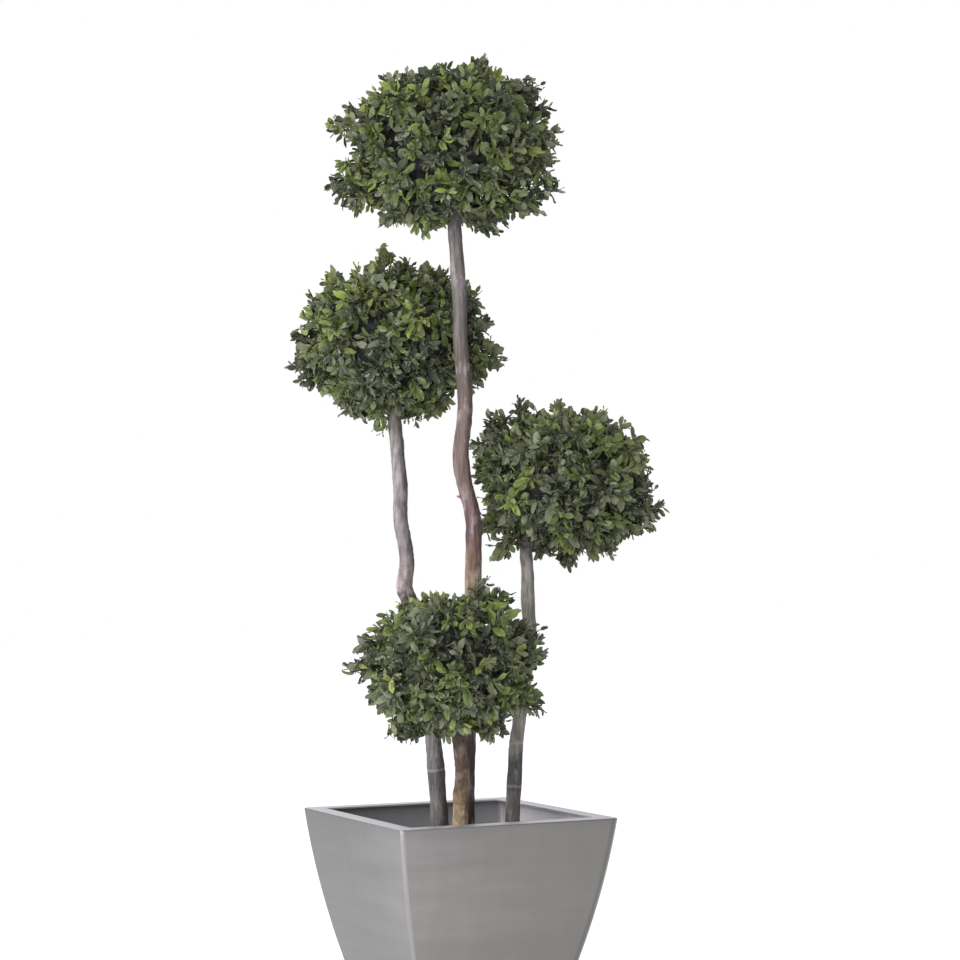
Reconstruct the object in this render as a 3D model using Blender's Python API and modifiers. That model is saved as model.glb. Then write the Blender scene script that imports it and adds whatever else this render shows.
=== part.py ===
"""Potted preserved pittosporum topiary.

Four clipped balls of leathery leaves stand on four bare stems, which are set in the filling of a square
planter of folded sheet metal with outward bowed walls. Blender 4.5, metres, +Z up. The origin is the middle
of the planter's flat underside, with X and Y square to its walls.
"""

import math
import random
from typing import NamedTuple

import bmesh
import bpy
from mathutils import Matrix, Vector

# Planter of folded sheet, square in plan
TOP_SIDE = 0.430
BASE_SIDE = 0.234
PLANTER_HEIGHT = 0.400
RIM_SLOPE = 0.125  # how much a wall leans in for each metre of depth, just under the rim
SHEET = 0.003
LIP_WIDTH = 0.033
CORNER_RADIUS = 0.008
LIP_CORNER_RADIUS = 0.002
CORNER_STEPS = 3
WALL_LEVELS = 8

# Filling that the stems are set in
FILL_DEPTH = 0.070  # its top, below the rim
GAP = 0.0003  # clearance between neighbouring solids

# The plant's own axes, across, back and up, stand turned against the planter's walls
PLANT_TURN = math.radians(-27.55)

# Stems
STEM_RING_SPACING = 0.034
FOOT_STEP = 0.004  # straight ends, so that both cuts are level
STEM_SIDE_STEPS = 2  # gives eight sides
FLARE_HEIGHT = 0.030
FLARE = 0.10  # how much wider than its taper a stem is at the foot
KNOT_LENGTH = 0.020
KNOT_SWELLING = 0.07

# Balls of leaves
ROUNDNESS = 2.3  # 2 is an ellipsoid, and more is nearer to a box
LUMP_DEPTH = 0.045
LUMP_WAVES = 5
LUMP_PITCH = 5.0  # waves in the face, in radians across a ball's radius
LUMP_BIAS = 0.4  # sinks the face a little, so that its highest lumps keep to the half sizes
STRAY_SPREAD = math.radians(14)
STRAY_LOSS = 0.35  # how much nearer a stray shoot's space ends at its sides
CORE_SHARE = 0.64
SPRIGS_A_SQUARE_METRE = 72
LEAVES_A_SPRIG = 4
LEAF_LENGTH = 0.072
LEAF_WIDTH = 0.040
LEAF_WIDEST = 0.6  # as a share of the length, from the root
LEAF_THICKNESS = 0.004
LEAF_SPACING = 0.13  # between the leaves down a twig, in leaf lengths
TIP_LEAF_ROOT = 0.30  # how far below the twig's end the outermost leaf is rooted, in leaf lengths
BARE_TIP = 0.62  # from the twig's end to the sprig's outermost tip, in leaf lengths
FIRST_SPREAD = math.radians(32)
SPREAD_STEP = math.radians(17)  # each leaf down the twig opens this much wider
SPREAD_PLAY = math.radians(8)
SIZE_PLAY = 0.12
TURN_PLAY = 0.3
FACE_PLAY = 0.35
HEADING_PLAY = 0.12
SHORTEST_SPRIG = 0.93  # of the reach
LONGEST_SPRIG = 0.99
TWIG_RADIUS = 0.0042
TWIG_TAPER = 0.6
OWN_STEM_SIDES = 8
OWN_STEM_TAPER = 0.6
LOW_ROOT = 0.4  # how far down the ball's own stem the lowest twigs leave it
LIMB_CLEARANCE = 0.003
TWIG_TESTS = 12
LEAF_TESTS = 8
WELD = 0.000002
GOLDEN_ANGLE = math.pi * (3 - math.sqrt(5))

RIM = PLANTER_HEIGHT
FILL_TOP = RIM - FILL_DEPTH
FOOT = FILL_TOP + GAP


class Stem(NamedTuple):
    name: str
    colour: tuple
    foot_radius: float
    tip_radius: float
    knots: tuple  # heights of old pruning scars
    route: tuple  # (across, back, up) from the foot to the tip


class Ball(NamedTuple):
    name: str
    stem: str
    seed: int
    centre: tuple
    half: tuple  # half sizes across, back and up
    strays: tuple  # tips of the shoots that stand out, from the centre


STEMS = (
    Stem(
        "stem_tall",
        (0.30, 0.24, 0.21),
        0.0168,
        0.0128,
        (0.830, 1.040),
        (
            (0.013, 0.006, FOOT),
            (0.017, 0.004, 0.500),
            (0.022, 0.003, 0.660),
            (0.029, 0.003, 0.820),
            (0.029, 0.002, 0.935),
            (0.013, 0.002, 1.003),
            (0.006, 0.002, 1.062),
            (0.014, 0.001, 1.150),
            (0.005, 0.001, 1.275),
            (0.004, 0.001, 1.345),
            (-0.005, 0.000, 1.470),
            (-0.007, 0.000, 1.508),
        ),
    ),
    Stem(
        "stem_left",
        (0.36, 0.34, 0.34),
        0.0162,
        0.0130,
        (0.385, 0.475, 0.806),
        (
            (-0.031, 0.016, FOOT),
            (-0.036, 0.026, 0.430),
            (-0.044, 0.037, 0.525),
            (-0.064, 0.054, 0.660),
            (-0.086, 0.071, 0.772),
            (-0.100, 0.077, 0.812),
            (-0.096, 0.083, 0.862),
            (-0.108, 0.092, 0.940),
            (-0.109, 0.099, 0.995),
            (-0.116, 0.112, 1.075),
            (-0.124, 0.125, 1.160),
            (-0.126, 0.128, 1.175),
        ),
    ),
    Stem(
        "stem_right",
        (0.20, 0.18, 0.17),
        0.0138,
        0.0116,
        (0.450, 0.790),
        (
            (0.099, 0.022, FOOT),
            (0.104, 0.028, 0.430),
            (0.109, 0.034, 0.520),
            (0.122, 0.041, 0.620),
            (0.135, 0.047, 0.710),
            (0.131, 0.052, 0.780),
            (0.131, 0.056, 0.820),
            (0.127, 0.062, 0.895),
        ),
    ),
    Stem(
        "stem_low",
        (0.34, 0.24, 0.15),
        0.0146,
        0.0122,
        (0.440,),
        (
            (0.003, -0.038, FOOT),
            (0.008, -0.066, 0.430),
            (0.010, -0.086, 0.485),
            (0.003, -0.108, 0.545),
            (0.001, -0.113, 0.562),
        ),
    ),
)

BALLS = (
    Ball(
        "foliage_top",
        "stem_tall",
        11,
        (-0.021, 0.000, 1.629),
        (0.208, 0.200, 0.157),
        (
            (-0.221, -0.02, 0.047),
            (-0.214, 0.02, -0.083),
            (0.209, 0.01, 0.095),
            (0.216, -0.03, -0.072),
            (0.062, 0.01, 0.181),
            (-0.100, -0.03, -0.136),
            (0.055, -0.03, -0.158),
            (-0.04, 0.212, 0.05),
        ),
    ),
    Ball(
        "foliage_left",
        "stem_left",
        25,
        (-0.122, 0.140, 1.288),
        (0.192, 0.184, 0.162),
        (
            (-0.020, -0.03, 0.184),
            (0.211, -0.01, -0.025),
            (-0.203, -0.02, -0.012),
            (-0.030, -0.05, -0.164),
            (-0.02, 0.196, -0.04),
        ),
    ),
    Ball(
        "foliage_right",
        "stem_right",
        37,
        (0.198, 0.070, 1.011),
        (0.174, 0.168, 0.148),
        (
            (0.188, -0.01, -0.050),
            (-0.085, -0.02, 0.150),
            (-0.174, -0.02, 0.030),
            (0.035, -0.03, -0.151),
            (0.02, 0.180, 0.03),
        ),
    ),
    Ball(
        "foliage_low",
        "stem_low",
        53,
        (-0.013, -0.140, 0.677),
        (0.168, 0.160, 0.136),
        (
            (-0.185, -0.02, -0.011),
            (0.073, -0.01, 0.144),
            (0.175, -0.01, 0.022),
            (-0.087, -0.03, -0.130),
            (0.082, -0.04, -0.126),
            (0.02, -0.172, -0.02),
        ),
    ),
)


def clear_scene():
    for obj in list(bpy.data.objects):
        bpy.data.objects.remove(obj, do_unlink=True)


def new_collection(name):
    collection = bpy.data.collections.new(name)
    bpy.context.scene.collection.children.link(collection)
    return collection


def new_material(name, colour, roughness, metallic=0.0):
    material = bpy.data.materials.new(name)
    material.use_nodes = True
    shader = material.node_tree.nodes["Principled BSDF"]
    shader.inputs["Base Color"].default_value = (*colour, 1.0)
    shader.inputs["Roughness"].default_value = roughness
    shader.inputs["Metallic"].default_value = metallic
    return material


def new_object(name, mesh, collection, material=None):
    obj = bpy.data.objects.new(name, mesh)
    collection.objects.link(obj)
    if material:
        mesh.materials.append(material)
    return obj


# Planter and filling


def wall_half_width(height):
    """Half the planter's outer width: a parabola from the base to the rim."""
    depth = RIM - height
    bow = ((TOP_SIDE - BASE_SIDE) / 2 - RIM_SLOPE * RIM) / RIM**2
    return TOP_SIDE / 2 - RIM_SLOPE * depth - bow * depth**2


def wall_lean(height):
    step = 0.001
    return math.atan((wall_half_width(height + step) - wall_half_width(height - step)) / (2 * step))


def rounded_square(half, radius, height):
    """Points round a square with arcs for corners, anticlockwise from above."""
    points = []
    for quarter in range(4):
        middle = Vector((half - radius, half - radius, height))
        middle.rotate(Matrix.Rotation(quarter * math.pi / 2, 3, "Z"))
        for step in range(CORNER_STEPS + 1):
            angle = (quarter + step / CORNER_STEPS) * math.pi / 2
            points.append(middle + radius * Vector((math.cos(angle), math.sin(angle), 0)))
    return points


def loft(rings, close_top):
    """An outward facing skin through rings that run up from the base."""
    bm = bmesh.new()
    rows = [[bm.verts.new(point) for point in ring] for ring in rings]
    for low, high in zip(rows, rows[1:]):
        for i in range(len(low)):
            j = (i + 1) % len(low)
            bm.faces.new((low[i], low[j], high[j], high[i]))
    bm.faces.new(reversed(rows[0]))
    if close_top:
        bm.faces.new(rows[-1])
    mesh = bpy.data.meshes.new("loft")
    bm.to_mesh(mesh)
    bm.free()
    return mesh


def make_planter(collection):
    heights = [RIM * level / WALL_LEVELS for level in range(WALL_LEVELS + 1)]
    rings = [rounded_square(wall_half_width(height), CORNER_RADIUS, height) for height in heights]
    rings.append(rounded_square(TOP_SIDE / 2 - LIP_WIDTH, LIP_CORNER_RADIUS, RIM))
    metal = new_material("galvanised_steel", (0.32, 0.31, 0.31), 0.42, 1.0)
    planter = new_object("planter", loft(rings, close_top=False), collection, metal)
    sheet = planter.modifiers.new("sheet", "SOLIDIFY")
    sheet.thickness = SHEET
    sheet.offset = -1
    sheet.use_even_offset = True
    sheet.use_quality_normals = True


def make_filling(collection):
    """The filling follows the inside of the walls, a hair clear of them."""
    floor = SHEET + GAP
    rings = []
    for level in range(WALL_LEVELS):
        height = floor + (FILL_TOP - floor) * level / (WALL_LEVELS - 1)
        half = wall_half_width(height) - (SHEET + GAP) / math.cos(wall_lean(height))
        rings.append(rounded_square(half, CORNER_RADIUS, height))
    peat = new_material("fibrous_filling", (0.06, 0.045, 0.035), 0.95)
    new_object("pot_fill", loft(rings, close_top=True), collection, peat)


# Stems


def smooth_route(route):
    """Points about a ring's spacing apart on a smooth curve through the route."""
    ends = [2 * Vector(route[0]) - Vector(route[1])]
    ends += [Vector(point) for point in route]
    ends.append(2 * ends[-1] - ends[-2])
    points = []
    for a, b, c, d in zip(ends, ends[1:], ends[2:], ends[3:]):
        steps = max(1, round((c - b).length / STEM_RING_SPACING))
        for step in range(steps):
            t = step / steps
            bend = (2 * a - 5 * b + 4 * c - d) * t**2 + (3 * b - a - 3 * c + d) * t**3
            points.append((2 * b + (c - a) * t + bend) / 2)
    points.append(ends[-2])
    return points


def stem_rings(stem):
    """(centre, radius) of each ring up a stem: an even taper, a flare at the foot and swellings at scars."""
    points = smooth_route(stem.route)
    points.insert(1, points[0] + Vector((0, 0, FOOT_STEP)))
    points.insert(-1, points[-1] - Vector((0, 0, FOOT_STEP)))
    length = points[-1].z - points[0].z
    rings = []
    for point in points:
        rise = point.z - points[0].z
        radius = stem.foot_radius + (stem.tip_radius - stem.foot_radius) * rise / length
        radius *= 1 + FLARE * math.exp(-rise / FLARE_HEIGHT)
        for knot in stem.knots:
            radius *= 1 + KNOT_SWELLING * math.exp(-(((point.z - knot) / KNOT_LENGTH) ** 2))
        rings.append((point, radius))
    return rings


def make_stem(stem, collection, plant):
    """A tube along the stem's rings, with flat ends."""
    curve = bpy.data.curves.new(stem.name, "CURVE")
    curve.dimensions = "3D"
    curve.bevel_depth = stem.foot_radius
    curve.bevel_resolution = STEM_SIDE_STEPS
    curve.use_fill_caps = True
    rings = stem_rings(stem)
    spline = curve.splines.new("POLY")
    spline.points.add(len(rings) - 1)
    for point, (centre, radius) in zip(spline.points, rings):
        point.co = (*centre, 1)
        point.radius = radius / stem.foot_radius
    curve.materials.append(new_material(stem.name + "_bark", stem.colour, 0.75))
    obj = bpy.data.objects.new(stem.name, curve)
    collection.objects.link(obj)
    obj.parent = plant


# Balls of leaves


def even_directions(count):
    """Unit vectors spread evenly over a sphere."""
    for i in range(count):
        up = 1 - (2 * i + 1) / count
        flat = math.sqrt(1 - up * up)
        yield Vector((flat * math.cos(i * GOLDEN_ANGLE), flat * math.sin(i * GOLDEN_ANGLE), up))


def random_direction(rng):
    return Vector([rng.gauss(0, 1) for _ in range(3)]).normalized()


class Reach:
    """How far from its centre a ball's leaves may reach in any direction."""

    def __init__(self, ball):
        rng = random.Random(ball.seed)
        self.half = ball.half
        self.strays = [Vector(stray) for stray in ball.strays]
        self.waves = [(random_direction(rng), rng.uniform(0, math.tau)) for _ in range(LUMP_WAVES)]

    def clipped(self, direction):
        """The clipped face: a rounded box between an ellipsoid and its bounding block, with soft lumps."""
        total = sum((abs(part) / half) ** ROUNDNESS for part, half in zip(direction, self.half))
        lumps = sum(math.sin(LUMP_PITCH * direction.dot(axis) + phase) for axis, phase in self.waves)
        return total ** (-1 / ROUNDNESS) * (1 + LUMP_DEPTH * (lumps / LUMP_WAVES - LUMP_BIAS))

    def furthest(self, direction):
        """The clipped face, or the tip of a stray shoot that leads this way."""
        reach = self.clipped(direction)
        for stray in self.strays:
            off = direction.angle(stray) / STRAY_SPREAD
            if off < 1:
                reach = max(reach, stray.length * (1 - STRAY_LOSS * off * off))
        return reach

    def holds(self, point):
        return point.length <= self.furthest(point.normalized()) + 1e-6


def clear_of_limbs(points, limbs):
    """Whether all the points keep off every stem."""
    for (low, low_radius), (high, high_radius) in limbs:
        along = high - low
        room = max(low_radius, high_radius) + LIMB_CLEARANCE
        for point in points:
            share = (point - low).dot(along) / along.length_squared
            share = min(1.0, max(0.0, share))
            if (point - low - share * along).length < room:
                return False
    return True


def points_between(start, end, count):
    return [start.lerp(end, i / count) for i in range(count + 1)]


def limb_pieces(centre, half):
    """The pieces of all stems that run near a ball."""
    near = max(half) + 2 * STEM_RING_SPACING
    for stem in STEMS:
        rings = stem_rings(stem)
        for low, high in zip(rings, rings[1:]):
            if (low[0] - centre).length < near:
                yield low, high


def leaf_mesh():
    """A pointed oval of eight faces, root at the origin and tip along +X."""
    bm = bmesh.new()
    bmesh.ops.create_uvsphere(bm, u_segments=4, v_segments=2, radius=0.5)
    for vert in bm.verts:
        vert.co.x += 0.5 if abs(vert.co.x) > 0.1 else LEAF_WIDEST
    mesh = bpy.data.meshes.new("leaf")
    bm.to_mesh(mesh)
    bm.free()
    return mesh


def cone_mesh(name, sides, foot, tip):
    """A tapered limb one unit long, up +Z from the origin."""
    bm = bmesh.new()
    bmesh.ops.create_cone(bm, cap_ends=True, segments=sides, radius1=foot, radius2=tip, depth=1)
    bmesh.ops.translate(bm, verts=bm.verts, vec=(0, 0, 0.5))
    mesh = bpy.data.meshes.new(name)
    bm.to_mesh(mesh)
    bm.free()
    return mesh


def frame_along(start, x_axis, up):
    """A matrix whose X runs along x_axis and whose Z is as near to up as it can be."""
    x = x_axis.normalized()
    y = up.cross(x).normalized()
    z = x.cross(y)
    return Matrix.Translation(start) @ Matrix((x, y, z)).transposed().to_4x4()


def grow_sprig(heading, share_of_reach, own_foot, reach, limbs, centre, rng):
    """One twig from the ball's own stem and the leaves round its end: (twig, leaves) as matrices, or None."""
    length = LEAF_LENGTH * rng.uniform(1 - SIZE_PLAY, 1 + SIZE_PLAY)
    tip = heading * reach.furthest(heading) * share_of_reach
    end = tip - heading * length * BARE_TIP
    root = own_foot * max(0.0, LOW_ROOT * end.z / own_foot.z)
    along = (end - root).normalized()
    if not clear_of_limbs([centre + p for p in points_between(root, end, TWIG_TESTS)], limbs):
        return None
    side = along.cross(random_direction(rng)).normalized()
    twig = frame_along(root, side, along) @ Matrix.Diagonal((1, 1, (end - root).length, 1))
    leaves = []
    for i in range(LEAVES_A_SPRIG):
        turn = Matrix.Rotation(i * GOLDEN_ANGLE + rng.uniform(-TURN_PLAY, TURN_PLAY), 3, along)
        spread = FIRST_SPREAD + SPREAD_STEP * i + rng.uniform(-SPREAD_PLAY, SPREAD_PLAY)
        start = end - along * LEAF_SPACING * i * length
        pointing = along * math.cos(spread) + (turn @ side) * math.sin(spread)
        size = length * rng.uniform(1 - SIZE_PLAY, 1)
        face = (along + FACE_PLAY * random_direction(rng)).normalized()
        if i == 0:
            start = end - along * TIP_LEAF_ROOT * length
            pointing = (tip - start).normalized()
            size = (tip - start).length
            face = turn @ side
        matrix = frame_along(start, pointing, face)
        across = matrix.col[1].to_3d() * LEAF_WIDTH / 2
        middle = start + pointing * size * LEAF_WIDEST
        edge = points_between(start, start + pointing * size, LEAF_TESTS)
        edge += [middle + across, middle - across]
        if all(reach.holds(p) for p in edge[1:]) and clear_of_limbs([centre + p for p in edge], limbs):
            leaves.append(matrix @ Matrix.Diagonal((size, LEAF_WIDTH, LEAF_THICKNESS, 1)))
    return twig, leaves


def keep_largest_body(mesh):
    """Drops the loose scraps and the sealed hollows that the union leaves."""
    bm = bmesh.new()
    bm.from_mesh(mesh)
    bmesh.ops.remove_doubles(bm, verts=bm.verts, dist=WELD)
    bmesh.ops.dissolve_degenerate(bm, edges=bm.edges, dist=WELD)
    left = set(bm.faces)
    bodies = []
    while left:
        body = [left.pop()]
        for face in body:
            for edge in face.edges:
                for other in edge.link_faces:
                    if other in left and len(edge.link_faces) == 2:
                        left.remove(other)
                        body.append(other)
        bodies.append(body)
    bodies.sort(key=len)
    scraps = [face for body in bodies[:-1] for face in body]
    bmesh.ops.delete(bm, geom=scraps, context="FACES")
    bmesh.ops.triangulate(bm, faces=bm.faces)
    bm.to_mesh(mesh)
    bm.free()


def join_growth(core, growth):
    """Unites the core with all that grows from it, and removes the separate pieces."""
    union = core.modifiers.new("growth", "BOOLEAN")
    union.operation = "UNION"
    union.solver = "EXACT"
    union.operand_type = "COLLECTION"
    union.collection = growth
    graph = bpy.context.evaluated_depsgraph_get()
    joined = bpy.data.meshes.new_from_object(core.evaluated_get(graph))
    core.modifiers.remove(union)
    core.data = joined
    keep_largest_body(joined)
    for obj in list(growth.objects):
        bpy.data.objects.remove(obj)
    bpy.data.collections.remove(growth)


def core_mesh(name, reach):
    bm = bmesh.new()
    bmesh.ops.create_icosphere(bm, subdivisions=2, radius=1)
    for vert in bm.verts:
        heading = vert.co.normalized()
        vert.co = heading * reach.clipped(heading) * CORE_SHARE
    mesh = bpy.data.meshes.new(name)
    bm.to_mesh(mesh)
    bm.free()
    return mesh


def own_stem_mesh(foot, radius):
    """The stem inside a ball, from a level foot just over the bare stem's tip to the ball's centre."""
    mesh = cone_mesh("own_stem", OWN_STEM_SIDES, radius, radius * OWN_STEM_TAPER)
    lean = Matrix.Identity(4)
    lean.col[2] = (*-foot, 0)
    mesh.transform(Matrix.Translation(foot) @ lean)
    return mesh


def make_ball(ball, collection, plant, green, leaf, twig):
    """A lumpy core with the ball's own stem, twigs and leaves fused into it."""
    rng = random.Random(ball.seed + 1)
    centre = Vector(ball.centre)
    reach = Reach(ball)
    limbs = list(limb_pieces(centre, ball.half))
    growth = new_collection(ball.name + "_growth")
    core = new_object(ball.name, core_mesh(ball.name, reach), collection, green)
    stem = next(stem for stem in STEMS if stem.name == ball.stem)
    own_foot = Vector(stem.route[-1]) + Vector((0, 0, GAP)) - centre
    new_object("own_stem", own_stem_mesh(own_foot, stem.tip_radius), growth)

    sprigs = [(stray.normalized(), 1.0) for stray in reach.strays]
    area = 4 * math.pi * (sum(ball.half) / 3) ** 2
    for heading in even_directions(round(area * SPRIGS_A_SQUARE_METRE)):
        heading = (heading + HEADING_PLAY * random_direction(rng)).normalized()
        sprigs.append((heading, rng.uniform(SHORTEST_SPRIG, LONGEST_SPRIG)))
    for heading, share_of_reach in sprigs:
        sprig = grow_sprig(heading, share_of_reach, own_foot, reach, limbs, centre, rng)
        if sprig is None:
            continue
        new_object("twig", twig, growth).matrix_world = sprig[0]
        for matrix in sprig[1]:
            new_object("leaf", leaf, growth).matrix_world = matrix
    join_growth(core, growth)
    core.location = centre
    core.parent = plant


def main():
    clear_scene()
    collection = new_collection("potted_pittosporum_topiary")
    make_planter(collection)
    make_filling(collection)
    plant = bpy.data.objects.new("plant", None)
    plant.rotation_euler.z = PLANT_TURN
    collection.objects.link(plant)
    for stem in STEMS:
        make_stem(stem, collection, plant)
    green = new_material("preserved_leaf", (0.055, 0.095, 0.030), 0.5)
    leaf = leaf_mesh()
    twig = cone_mesh("twig", 3, TWIG_RADIUS, TWIG_RADIUS * TWIG_TAPER)
    for ball in BALLS:
        make_ball(ball, collection, plant, green, leaf, twig)


main()
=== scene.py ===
"""Potted preserved pittosporum topiary: the finished planter, filling, stems and foliage, in metres."""

import math
import random
from typing import NamedTuple

import bmesh
import bpy
import numpy as np
from mathutils import Matrix, Vector, noise


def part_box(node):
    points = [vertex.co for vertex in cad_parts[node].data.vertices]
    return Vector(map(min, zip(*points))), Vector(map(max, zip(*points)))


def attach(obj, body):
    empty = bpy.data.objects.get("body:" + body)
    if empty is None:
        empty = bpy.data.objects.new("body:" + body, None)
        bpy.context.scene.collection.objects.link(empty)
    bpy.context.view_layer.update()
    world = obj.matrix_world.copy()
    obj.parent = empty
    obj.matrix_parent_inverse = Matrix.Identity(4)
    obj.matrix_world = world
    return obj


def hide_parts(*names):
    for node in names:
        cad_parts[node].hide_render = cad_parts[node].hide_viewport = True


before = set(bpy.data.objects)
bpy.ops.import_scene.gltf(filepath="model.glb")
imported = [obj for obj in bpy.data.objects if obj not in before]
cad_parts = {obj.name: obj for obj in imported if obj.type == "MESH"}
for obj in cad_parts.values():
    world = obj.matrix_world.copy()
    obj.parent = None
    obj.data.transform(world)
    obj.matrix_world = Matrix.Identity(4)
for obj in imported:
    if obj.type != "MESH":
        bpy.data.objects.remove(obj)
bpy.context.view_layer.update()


# Planter: a square shell of galvanised sheet steel, folded from flat sheets and welded up its corners.
# Its walls bow outwards towards a flat lip turned in all round the rim, and the zinc is brushed level
# along the walls, so that it mirrors the room only as soft bands.
PLANTER_LOW, PLANTER_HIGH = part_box("planter")
TOP_SIDE = PLANTER_HIGH.x - PLANTER_LOW.x
RIM = PLANTER_HIGH.z
BASE_SIDE = 0.234
RIM_SLOPE = 0.125  # how much a wall leans in for each metre of depth, just under the rim
SHEET = 0.003
LIP_WIDTH = 0.033
CORNER_RADIUS = 0.008
CORNER_SEGMENTS = 6
FOLD_RADIUS = 0.0022
FREE_EDGE_ROUND = 0.0007
WALL_LEVELS = 24
WALL_BOW = ((TOP_SIDE - BASE_SIDE) / 2 - RIM_SLOPE * RIM) / RIM**2
WELD_RADIUS = 0.0024
STEEL = "#81807c"
DULL_STEEL = "#7a7a75"
BRIGHT_STEEL = "#8f8e8a"
# The inside's colours, lighter to the right: painted light and shade
INSIDE_LIT_ZINC = "#f2f1f4"
INSIDE_HALF_LIT_ZINC = "#b4b3b5"
INSIDE_SHADED_ZINC = "#9f9ea0"
# The lip, painted paler as a painted reflection of the light above
LIP_SHEEN_STEEL = "#c8c7c3"
DARK_LINE_OFFSET = 0.011  # how far from a right-hand corner the painted dark reflection line lies
DARK_LINE_WIDTH = 0.006  # how far the painted dark line fades to each side
DARK_LINE_SHADE = 0.76
# The rounded corners outside, painted lighter as a painted highlight
CORNER_HIGHLIGHT_STEEL = "#969591"
# Pale weld beads inside the corners, partly a painted highlight
WELD_HIGHLIGHT_METAL = "#d8d7d6"
PAINTED_LIGHT_WAY = (-0.7, -0.8, 0)  # the way to the front left corner, towards which the steel is painted lighter as painted light
# Settings of the nodes that lay one colour over another
OVERLAY = {"data_type": "RGBA", "blend_type": "OVERLAY"}
MULTIPLY = {"data_type": "RGBA", "blend_type": "MULTIPLY", "Factor_Float": 1.0}


def wall_half_width(height):
    """Half the planter's outer width: a parabola from the base to the rim."""
    depth = RIM - height
    return TOP_SIDE / 2 - RIM_SLOPE * depth - WALL_BOW * depth**2


def linear(hex_colour):
    """An sRGB hex colour as linear red, green, blue and alpha."""
    parts = [int(hex_colour[i : i + 2], 16) / 255 for i in (1, 3, 5)]
    return [*(p / 12.92 if p <= 0.04045 else ((p + 0.055) / 1.055) ** 2.4 for p in parts), 1.0]


def settle(node, **inputs):
    """Sets a node's options, ramp stops and input values, and links its inputs to nodes or sockets."""
    for name, value in inputs.items():
        if name == "stops":
            elements = node.color_ramp.elements
            while len(elements) < len(value):
                elements.new(1.0)
            for element, (position, colour) in zip(elements, value):
                element.position = position
                element.color = linear(colour)
        elif name[0].islower():
            setattr(node, name, value)
        else:
            socket = next(s for s in node.inputs if s.identifier.replace(" ", "_") == name)
            if isinstance(value, bpy.types.Node):
                value = next(s for s in value.outputs if s.enabled)
            if isinstance(value, bpy.types.NodeSocket):
                node.id_data.links.new(value, socket)
            else:
                socket.default_value = linear(value) if isinstance(value, str) else value


def add_node(material, kind, **inputs):
    """Adds a shader node with its options, values and links."""
    node = material.node_tree.nodes.new("ShaderNode" + kind)
    settle(node, **inputs)
    return node


def new_material(name):
    material = bpy.data.materials.new(name)
    material.use_nodes = True
    return material, material.node_tree.nodes["Principled BSDF"]


def select_edges(obj, test):
    """In edit mode, selects the edges that pass a test, and no others."""
    bm = bmesh.from_edit_mesh(obj.data)
    for element in (*bm.faces, *bm.edges, *bm.verts):
        element.select = False
    for edge in bm.edges:
        if test(edge):
            edge.select_set(True)
    bmesh.update_edit_mesh(obj.data)


def is_fold(edge):
    """Whether a level face meets a wall here."""
    level = [abs(face.normal.z) > 0.9 for face in edge.link_faces]
    return len(level) == 2 and level[0] != level[1]


bpy.context.tool_settings.mesh_select_mode = (False, True, False)
bpy.ops.object.select_all(action="DESELECT")
bpy.ops.mesh.primitive_plane_add(size=BASE_SIDE)
planter = bpy.context.object
planter.name = "planter_shell"
bpy.ops.object.mode_set(mode="EDIT")
bpy.ops.mesh.select_all(action="SELECT")
bpy.ops.mesh.bevel(affect="VERTICES", offset=CORNER_RADIUS, segments=CORNER_SEGMENTS)
bpy.ops.mesh.select_all(action="SELECT")
for _ in range(WALL_LEVELS):
    bpy.ops.mesh.extrude_edges_move(TRANSFORM_OT_translate={"value": (0, 0, RIM / WALL_LEVELS)})
bm = bmesh.from_edit_mesh(planter.data)
for vert in bm.verts:
    push = wall_half_width(vert.co.z) - BASE_SIDE / 2
    vert.co.x += math.copysign(push, vert.co.x)
    vert.co.y += math.copysign(push, vert.co.y)
bmesh.update_edit_mesh(planter.data)
lip_scale = 1 - 2 * LIP_WIDTH / TOP_SIDE
bpy.ops.mesh.extrude_edges_move(TRANSFORM_OT_translate={"value": (0, 0, 0)})
bpy.ops.transform.resize(value=(lip_scale, lip_scale, 1), center_override=(0, 0, RIM))
bpy.ops.mesh.select_all(action="SELECT")
bpy.ops.mesh.normals_make_consistent(inside=False)
select_edges(planter, is_fold)
bpy.ops.mesh.bevel(offset=FOLD_RADIUS, segments=3)
bpy.ops.object.mode_set(mode="OBJECT")
sheet = planter.modifiers.new("sheet", "SOLIDIFY")
sheet.thickness = SHEET
sheet.offset = -1
sheet.use_even_offset = True
free_edges = planter.modifiers.new("free_edges", "BEVEL")
free_edges.width = FREE_EDGE_ROUND
free_edges.segments = 2
free_edges.angle_limit = math.radians(60)
for modifier in list(planter.modifiers):
    bpy.ops.object.modifier_apply(modifier=modifier.name)
bpy.ops.object.shade_smooth_by_angle(angle=math.radians(35))

# Galvanised steel, brushed: the zinc's brush lines are a tenth of a millimetre apart, so they are drawn
# about 3 mm apart. How hard it was brushed changes a little from hand to hand, in soft level bands, and
# the steel is painted lighter towards the front left corner, as painted light. Beside the two right-hand
# corners a dark line is painted in, as a painted reflection of the dark side of the room.
steel, shader = new_material("galvanised_steel_brushed")
coords = add_node(steel, "TexCoord").outputs["Object"]
level_lines = add_node(steel, "Mapping", Vector=coords, Scale=(2.5, 2.5, 330))
brush = add_node(steel, "TexNoise", Vector=level_lines, Scale=1, Detail=3)
upright_lines = add_node(steel, "Mapping", Vector=coords, Scale=(45, 45, 2))  # 22 mm wide
streaks = add_node(steel, "TexNoise", Vector=upright_lines, Scale=1, Detail=2)
level_bands = add_node(steel, "Mapping", Vector=coords, Scale=(3, 3, 22))  # 45 mm high
bands = add_node(steel, "TexNoise", Vector=level_bands, Scale=1, Detail=2)
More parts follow.
